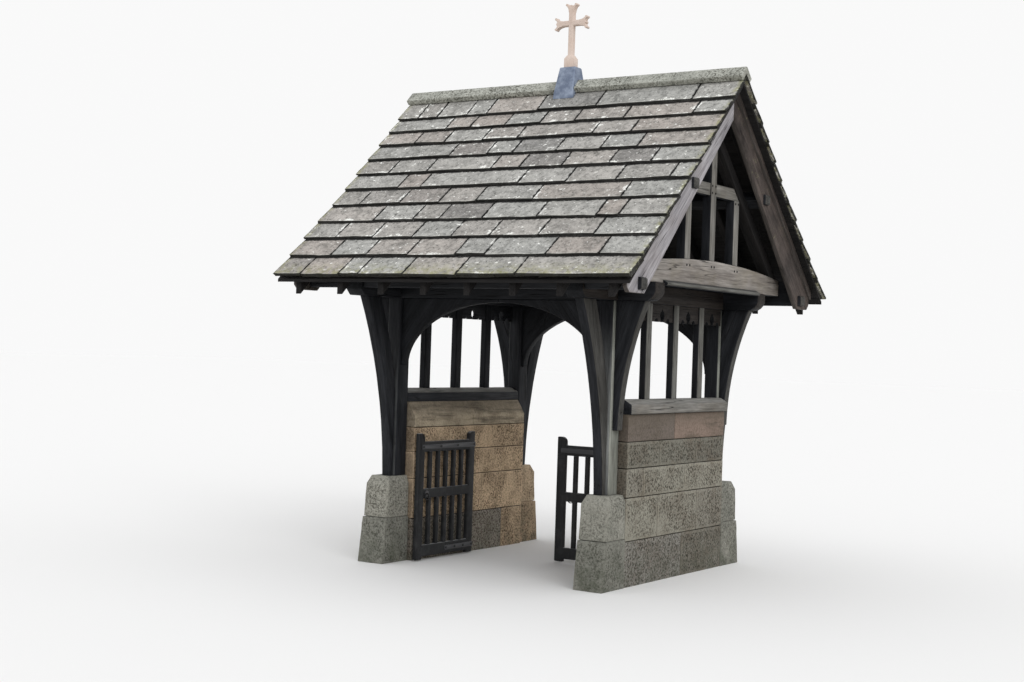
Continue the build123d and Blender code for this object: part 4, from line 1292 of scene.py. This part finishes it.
SIDE_TIMBERS = (
    Timber("posts_{}", "dark_oak", Weathering.FRAME, Grain.ALONG_Z, Wear.POST),
    Timber("eave_braces_{}", "dark_oak", Weathering.BRACE, Grain.UP_EAVE_BRACE, Wear.CURVED),
    Timber("gable_braces_{}", "dark_oak", Weathering.BRACE, Grain.UP_GABLE_BRACE, Wear.CURVED),
    Timber("cross_beam_{}", "dark_oak", Weathering.HEAD, Grain.ALONG_Y),
    Timber("sill_{}", "grey_oak", Weathering.GABLE, Grain.ALONG_Y, Wear.POST),
    Timber("mullions_{}", "grey_oak", Weathering.SCREEN, Grain.ALONG_Z, Wear.THIN),
    Timber("head_boards_{}", "grey_oak", Weathering.HEAD, Grain.ALONG_Y, Wear.THIN),
    Timber("gable_tie_{}", "grey_oak", Weathering.TIE, Grain.ALONG_Y, Wear.CURVED),
    Timber("principal_rafters_{}", "dark_oak", Weathering.INNER, Grain.DOWN_SLOPE),
    Timber("gable_struts_{}", "grey_oak", Weathering.GABLE, Grain.ALONG_Z),
    Timber("bargeboards_{}", "weathered_oak", Weathering.BARGE, Grain.DOWN_SLOPE),
)
END_TIMBERS = (
    Timber("arch_braces_{}", "dark_oak", Weathering.HEAD, Grain.OVER_ARCH, Wear.CURVED),
    Timber("wall_plate_{}", "dark_oak", Weathering.HEAD, Grain.ALONG_X),
    Timber("eaves_plate_{}", "dark_oak", Weathering.BRACE, Grain.ALONG_X),
    Timber("purlin_{}", "dark_oak", Weathering.BRACE, Grain.ALONG_X),
    Timber("rafters_{}", "dark_oak", Weathering.INNER, Grain.DOWN_SLOPE),
    Timber("roof_boards_{}", "dark_oak", Weathering.INNER, Grain.ALONG_X, Wear.BOARD),
)
MIDDLE_TIMBERS = (
    Timber("gable_collars", "grey_oak", Weathering.GABLE, Grain.ALONG_Y),
    Timber("drip_boards", "weathered_oak", Weathering.SCREEN, Grain.ALONG_Y, Wear.THIN),
    Timber("ridge_board", "dark_oak", Weathering.INNER, Grain.ALONG_X, Wear.BOARD),
)


@dataclass
class Pegs:
    """The oak pegs that draw the gable joints together, cut off a little proud.

    Each spot is a Y and a Z, first on the tie and then on the collar and struts.
    """

    radius: float = 0.011
    sides: int = 8
    proud: float = 0.004
    depth: float = 0.012
    arris: float = 0.002
    spots: tuple[tuple[float, tuple[Span, ...]], ...] = (
        (1.607, ((-0.518, 2.839), (-0.462, 2.839), (-0.028, 2.85), (0.028, 2.85), (0.462, 2.839),
                 (0.518, 2.839))),
        (1.597, ((-0.034, 3.524), (-0.034, 3.588), (0.034, 3.524), (0.034, 3.588), (0.46, 3.47),
                 (0.52, 3.47))))

    def build(self, finish: Material) -> None:
        """Turn one peg, drive a copy into each place and join them.

        Args:
            finish: The dark oak of the end grain.
        """
        Bench.take()
        bpy.ops.mesh.primitive_cylinder_add(vertices=self.sides, radius=self.radius,
                                            depth=self.depth + self.proud, rotation=(0, math.pi / 2, 0))
        bpy.ops.object.transform_apply(location=True, rotation=True, scale=True)
        turned = bpy.context.object
        Bench.coat(turned, [finish])
        pegs: list[Piece] = []
        for side in SIDES.values():
            for face, along, level in ((face, *spot) for face, spots in self.spots for spot in spots):
                peg = bpy.data.objects.new("peg", turned.data.copy())
                peg.data.transform(Matrix.Translation((side * (face + (self.proud - self.depth) / 2), along,
                                                       level)))
                bpy.context.scene.collection.objects.link(peg)
                pegs.append(peg)
        bpy.data.objects.remove(turned)
        whole = Bench.join("gable_pegs", pegs)
        Bench.ease(whole, self.arris, 1)
        Bench.smooth(whole)
        Bench.fit(whole, "dark_oak")


@dataclass
class GateLeaf:
    """One leaf in black stained oak with its ironwork."""

    side: str
    picket_thickness: float = 0.034
    strap_face: float = 0.0285
    frame_arris: float = 0.009
    picket_arris: float = 0.003
    iron_arris: float = 0.0015

    def thickness(self, piece: Piece) -> tuple[int, float, float]:
        """Measure a piece through the leaf.

        Args:
            piece: The frame, the pickets or the ironwork.

        Returns:
            The axis that runs through the leaf, the middle on it and the thickness.
        """
        spans = [[vertex.co[axis] for vertex in piece.data.vertices] for axis in (0, 1)]
        sizes = [max(span) - min(span) for span in spans]
        thin = sizes.index(min(sizes))
        return thin, (max(spans[thin]) + min(spans[thin])) / 2, sizes[thin]

    def thicken(self, pickets: Piece) -> None:
        """Bring the pickets to their full thickness, inside the thickness of the rails.

        Args:
            pickets: The pickets.
        """
        thin, middle, size = self.thickness(pickets)
        for vertex in pickets.data.vertices:
            vertex.co[thin] = middle + (vertex.co[thin] - middle) * self.picket_thickness / size

    def pick_out(self, ironwork: Piece, frame: Piece, bolt: Material) -> None:
        """Give the bolt heads and the ring their own finish.

        Args:
            ironwork: The ironwork.
            frame: The frame it is fixed to.
            bolt: The finish.
        """
        thin, middle, _ = self.thickness(frame)
        Bench.coat(ironwork, [bolt])
        for face in ironwork.data.polygons:
            face.material_index = int(abs(face.center[thin] - middle) > self.strap_face)

    def build(self, stained: Material, iron: Material, bolt: Material) -> None:
        """Dress the frame, the pickets and the ironwork.

        Args:
            stained: The stained oak.
            iron: The black iron.
            bolt: The iron of the bolt heads and the ring.
        """
        nodes = [f"{self.side}_leaf_{part}" for part in ("frame", "pickets", "ironwork")]
        body = f"gate_{self.side}"
        frame = Bench.cast(nodes[0], stained)
        Bench.finish(frame, self.frame_arris, "gate_oak", nodes[0], body)
        pickets = Bench.cast(nodes[1], stained)
        self.thicken(pickets)
        Bench.finish(pickets, self.picket_arris, "gate_oak", nodes[1], body)
        ironwork = Bench.cast(nodes[2], iron)
        self.pick_out(ironwork, frame, bolt)
        Bench.finish(ironwork, self.iron_arris, "black_iron", nodes[2], body)


@dataclass
class Studio:
    """The floor, the light and the camera."""

    camera_place: Point = (7.748, -12.593, 2.048)
    yaw: float = math.radians(33.397)
    pitch: float = math.radians(0.287)
    roll: float = math.radians(1.897)
    focal_pixels: float = 1525.9
    image_width: int = 1024
    sensor: float = 36.0
    farthest: float = 300.0
    floor_size: float = 240.0
    dome: float = 1.0
    backdrop: Colour = (0.95, 0.95, 0.95, 1.0)
    key_power: float = 1.0
    key_spread: float = math.radians(40)
    key_travel: Point = (-0.75, 0.6, -0.55)

    def camera(self) -> None:
        """Stand the camera where the photograph was taken."""
        data = bpy.data.cameras.new("view")
        data.sensor_fit = "HORIZONTAL"
        data.sensor_width = self.sensor
        data.lens = self.focal_pixels * self.sensor / self.image_width
        data.clip_end = self.farthest
        ahead = Vector((-math.sin(self.yaw) * math.cos(self.pitch), math.cos(self.yaw) * math.cos(self.pitch),
                        math.sin(self.pitch)))
        level = Vector((math.cos(self.yaw), math.sin(self.yaw), 0))
        upright = level.cross(ahead)
        right = level * math.cos(self.roll) + upright * math.sin(self.roll)
        top = upright * math.cos(self.roll) - level * math.sin(self.roll)
        camera = bpy.data.objects.new("view", data)
        turned = Matrix((right, top, -ahead)).transposed().to_4x4()
        camera.matrix_world = Matrix.Translation(self.camera_place) @ turned
        bpy.context.scene.collection.objects.link(camera)
        bpy.context.scene.camera = camera

    def floor(self) -> None:
        """Lay the pale floor."""
        Bench.take()
        bpy.ops.mesh.primitive_plane_add(size=self.floor_size, location=(0, 0, 0))
        plane = bpy.context.object
        plane.name = "floor"
        Bench.coat(plane, [FloorFinish().material()])

    def sky(self) -> None:
        """Light the object from an even white dome."""
        world = bpy.data.worlds.new("dome")
        bpy.context.scene.world = world
        board = Board(world)
        board.tree.nodes.clear()
        light = board.make("Background", {"Color": (1, 1, 1, 1), "Strength": self.dome})
        seen = board.make("Background", {"Color": self.backdrop, "Strength": 1.0})
        mix = board.make("MixShader", {0: board.direct_view(), 1: light, 2: seen})
        board.feed(board.tree.nodes.new("ShaderNodeOutputWorld").inputs["Surface"], mix)

    def key(self) -> None:
        """Add one soft distant lamp."""
        data = bpy.data.lights.new("soft_key", "SUN")
        data.energy = self.key_power
        data.angle = self.key_spread
        lamp = bpy.data.objects.new("soft_key", data)
        lamp.rotation_mode = "QUATERNION"
        lamp.rotation_quaternion = Vector(self.key_travel).to_track_quat("-Z", "Y")
        bpy.context.scene.collection.objects.link(lamp)

    def build(self) -> None:
        """Set up the whole studio."""
        self.camera()
        self.floor()
        self.sky()
        self.key()
        bpy.context.scene.view_settings.view_transform = "Standard"


FRONT_JOINTS = (
    (-1.62, -1.38, -1.02, -0.78, -0.19, 0.46, 1.46),
    (-1.16, -0.87, -0.46, -0.06, 0.32, 0.85, 1.55),
    (-1.43, -1.06, -0.61, -0.21, 0.61, 1.02),
    (-0.88, -0.44, -0.15, 0.33, 0.80, 1.18),
    (-1.47, -1.01, -0.27, 0.045, 0.50, 0.99, 1.41),
    (-1.22, -0.95, 0.15, 0.66, 1.17, 1.69),
    (-1.53, -1.05, -0.59, -0.18, 0.43, 1.33),
    (-1.20, -0.74, -0.44, 0.03, 0.60, 1.20, 1.42),
    (-1.49, -1.05, -0.59, -0.16, 0.25, 0.75, 1.30),
    (-1.37, -0.96, -0.49, 0.03, 0.34, 0.96, 1.47),
    (-1.55, -1.10, -0.88, -0.38, 0.19, 0.79),
)
BACK_SHIFT = 0.07
BACK_JOINTS = tuple(tuple(-place + BACK_SHIFT * (-1) ** row for place in reversed(joints))
                    for row, joints in enumerate(FRONT_JOINTS))
SLOPES = (SlateSlope("front", FRONT_JOINTS, seed=5), SlateSlope("back", BACK_JOINTS, seed=8))
WALLS = (
    DwarfWall("left", ((-0.33, 0.58), (-0.52, 0.20), (-0.10, 0.58), (-0.376, 0.289), (0.02,)),
              values=(0.6, 0.85, 0.95, 0.8, 0.7), sooty=(0, 1), seed=11),
    DwarfWall("right", ((0.12, ), (-0.364, 0.41), (-0.648, 0.15), (-0.361, 0.36), (-0.08,)),
              values=(0.4, 0.9, 0.9, 0.05, 0.6), sooty=(0,), seed=12),
)
RIDGE_STONE = StoneFinish("ridge_sandstone", pair(196, 198, 190, 180, 182, 174), paint(84, 86, 78), 0.008, 30,
                          foot_stain=0.0, contrast=0.95)
CROSS_STONE = StoneFinish("cross_sandstone", pair(232, 215, 204, 226, 208, 198), paint(196, 172, 158), 0.001,
                          90, foot_stain=0.0, peck_shade=0.1, contrast=0.12)
GREY = pair(150, 148, 137, 124, 120, 112)
COOL = pair(160, 159, 150, 144, 144, 136)
WALL_STONES = (
    StoneFinish("wall_margin", pair(222, 198, 168, 204, 180, 151), paint(110, 96, 80), 0.002, 60,
                peck_shade=0.3, end_shade=0.7, outer=GREY),
    StoneFinish("wall_pecked", pair(228, 202, 170, 206, 182, 152), paint(84, 70, 56), peck_shade=0.6,
                contrast=1.15, end_shade=0.7, outer=GREY),
    StoneFinish("wall_rubbed", pair(204, 190, 166, 182, 168, 148), paint(92, 84, 74), 0.001, 90, streak=0.8,
                peck_shade=0.1, contrast=0.4, end_shade=0.7, head_shade=0.5,
                outer=pair(146, 128, 117, 112, 107, 102)),
    StoneFinish("old_mortar", pair(84, 72, 60, 76, 66, 56), paint(50, 44, 38), 0.003, 80, peck_shade=0.2,
                outer=pair(70, 66, 58, 62, 58, 52)),
)
BASE_STONES = (
    StoneFinish("base_margin", pair(158, 157, 148, 144, 144, 136), paint(104, 106, 98), 0.002, 70,
                peck_shade=0.2, foot_stain=0.7),
    StoneFinish("base_pecked", pair(164, 163, 154, 148, 148, 140), paint(70, 74, 66), peck_shade=0.7,
                contrast=0.8, foot_stain=0.7),
)
OCHRE_STONES = (
    StoneFinish("ochre_margin", pair(218, 196, 168, 204, 180, 151), paint(110, 96, 80), 0.002, 60,
                peck_shade=0.3, foot_stain=0.9, outer=COOL),
    StoneFinish("ochre_pecked", pair(222, 198, 168, 204, 180, 151), paint(84, 70, 56), peck_shade=0.6,
                contrast=0.95, foot_stain=0.9, outer=COOL),
)
OCHRE_BASE = ("back", "left")
BLACK_IRON = IronFinish("black_iron", paint(68, 69, 72), paint(96, 72, 58))
WORN_IRON = IronFinish("worn_iron", paint(24, 25, 27), paint(60, 46, 38))


def materials(finishes: Iterable[StoneFinish]) -> list[Material]:
    """Make the material of each finish."""
    return [finish.material() for finish in finishes]


def build_stonework() -> None:
    """Build the slates, the crowning pieces, the dwarf walls and the bases."""
    slate = SlateFinish().material()
    for slope in SLOPES:
        slope.build(slate)
    CrownPiece("ridge_stones", "ridge_stone", 0.009).build(RIDGE_STONE.material())
    CrownPiece("lead_saddle", "lead", 0.007).build(LeadFinish().material())
    CrownPiece("cross", "finial_stone", 0.007).build(CROSS_STONE.material())
    coursed = materials(WALL_STONES)
    for wall in WALLS:
        wall.build(coursed)
    cool, ochre = materials(BASE_STONES), materials(OCHRE_STONES)
    for side in SIDES:
        for end in ENDS:
            PostBase(end, side).build(ochre if (end, side) == OCHRE_BASE else cool)


def build_timberwork() -> None:
    """Dress every timber of the fixed frame and drive its pegs."""
    for places, timbers in ((SIDES, SIDE_TIMBERS), (ENDS, END_TIMBERS), (("",), MIDDLE_TIMBERS)):
        for place in places:
            for timber in timbers:
                timber.build(place)
    Pegs().build(oak(Weathering.INNER, Grain.ALONG_X))


def build_gates() -> None:
    """Dress both leaves and the pintles that carry them."""
    stained, iron, bolt = PaintedOakFinish().material(), BLACK_IRON.material(), WORN_IRON.material()
    for side in SIDES:
        GateLeaf(side).build(stained, iron, bolt)
    Bench.finish(Bench.cast("pintles", iron), GateLeaf.iron_arris, "black_iron", "pintles")


def main() -> None:
    """Build the classes in order and report each piece."""
    logging.basicConfig(level=logging.INFO, format="%(name)s %(message)s")
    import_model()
    Studio().build()
    build_stonework()
    build_timberwork()
    build_gates()


if __name__ == "__main__":
    main()
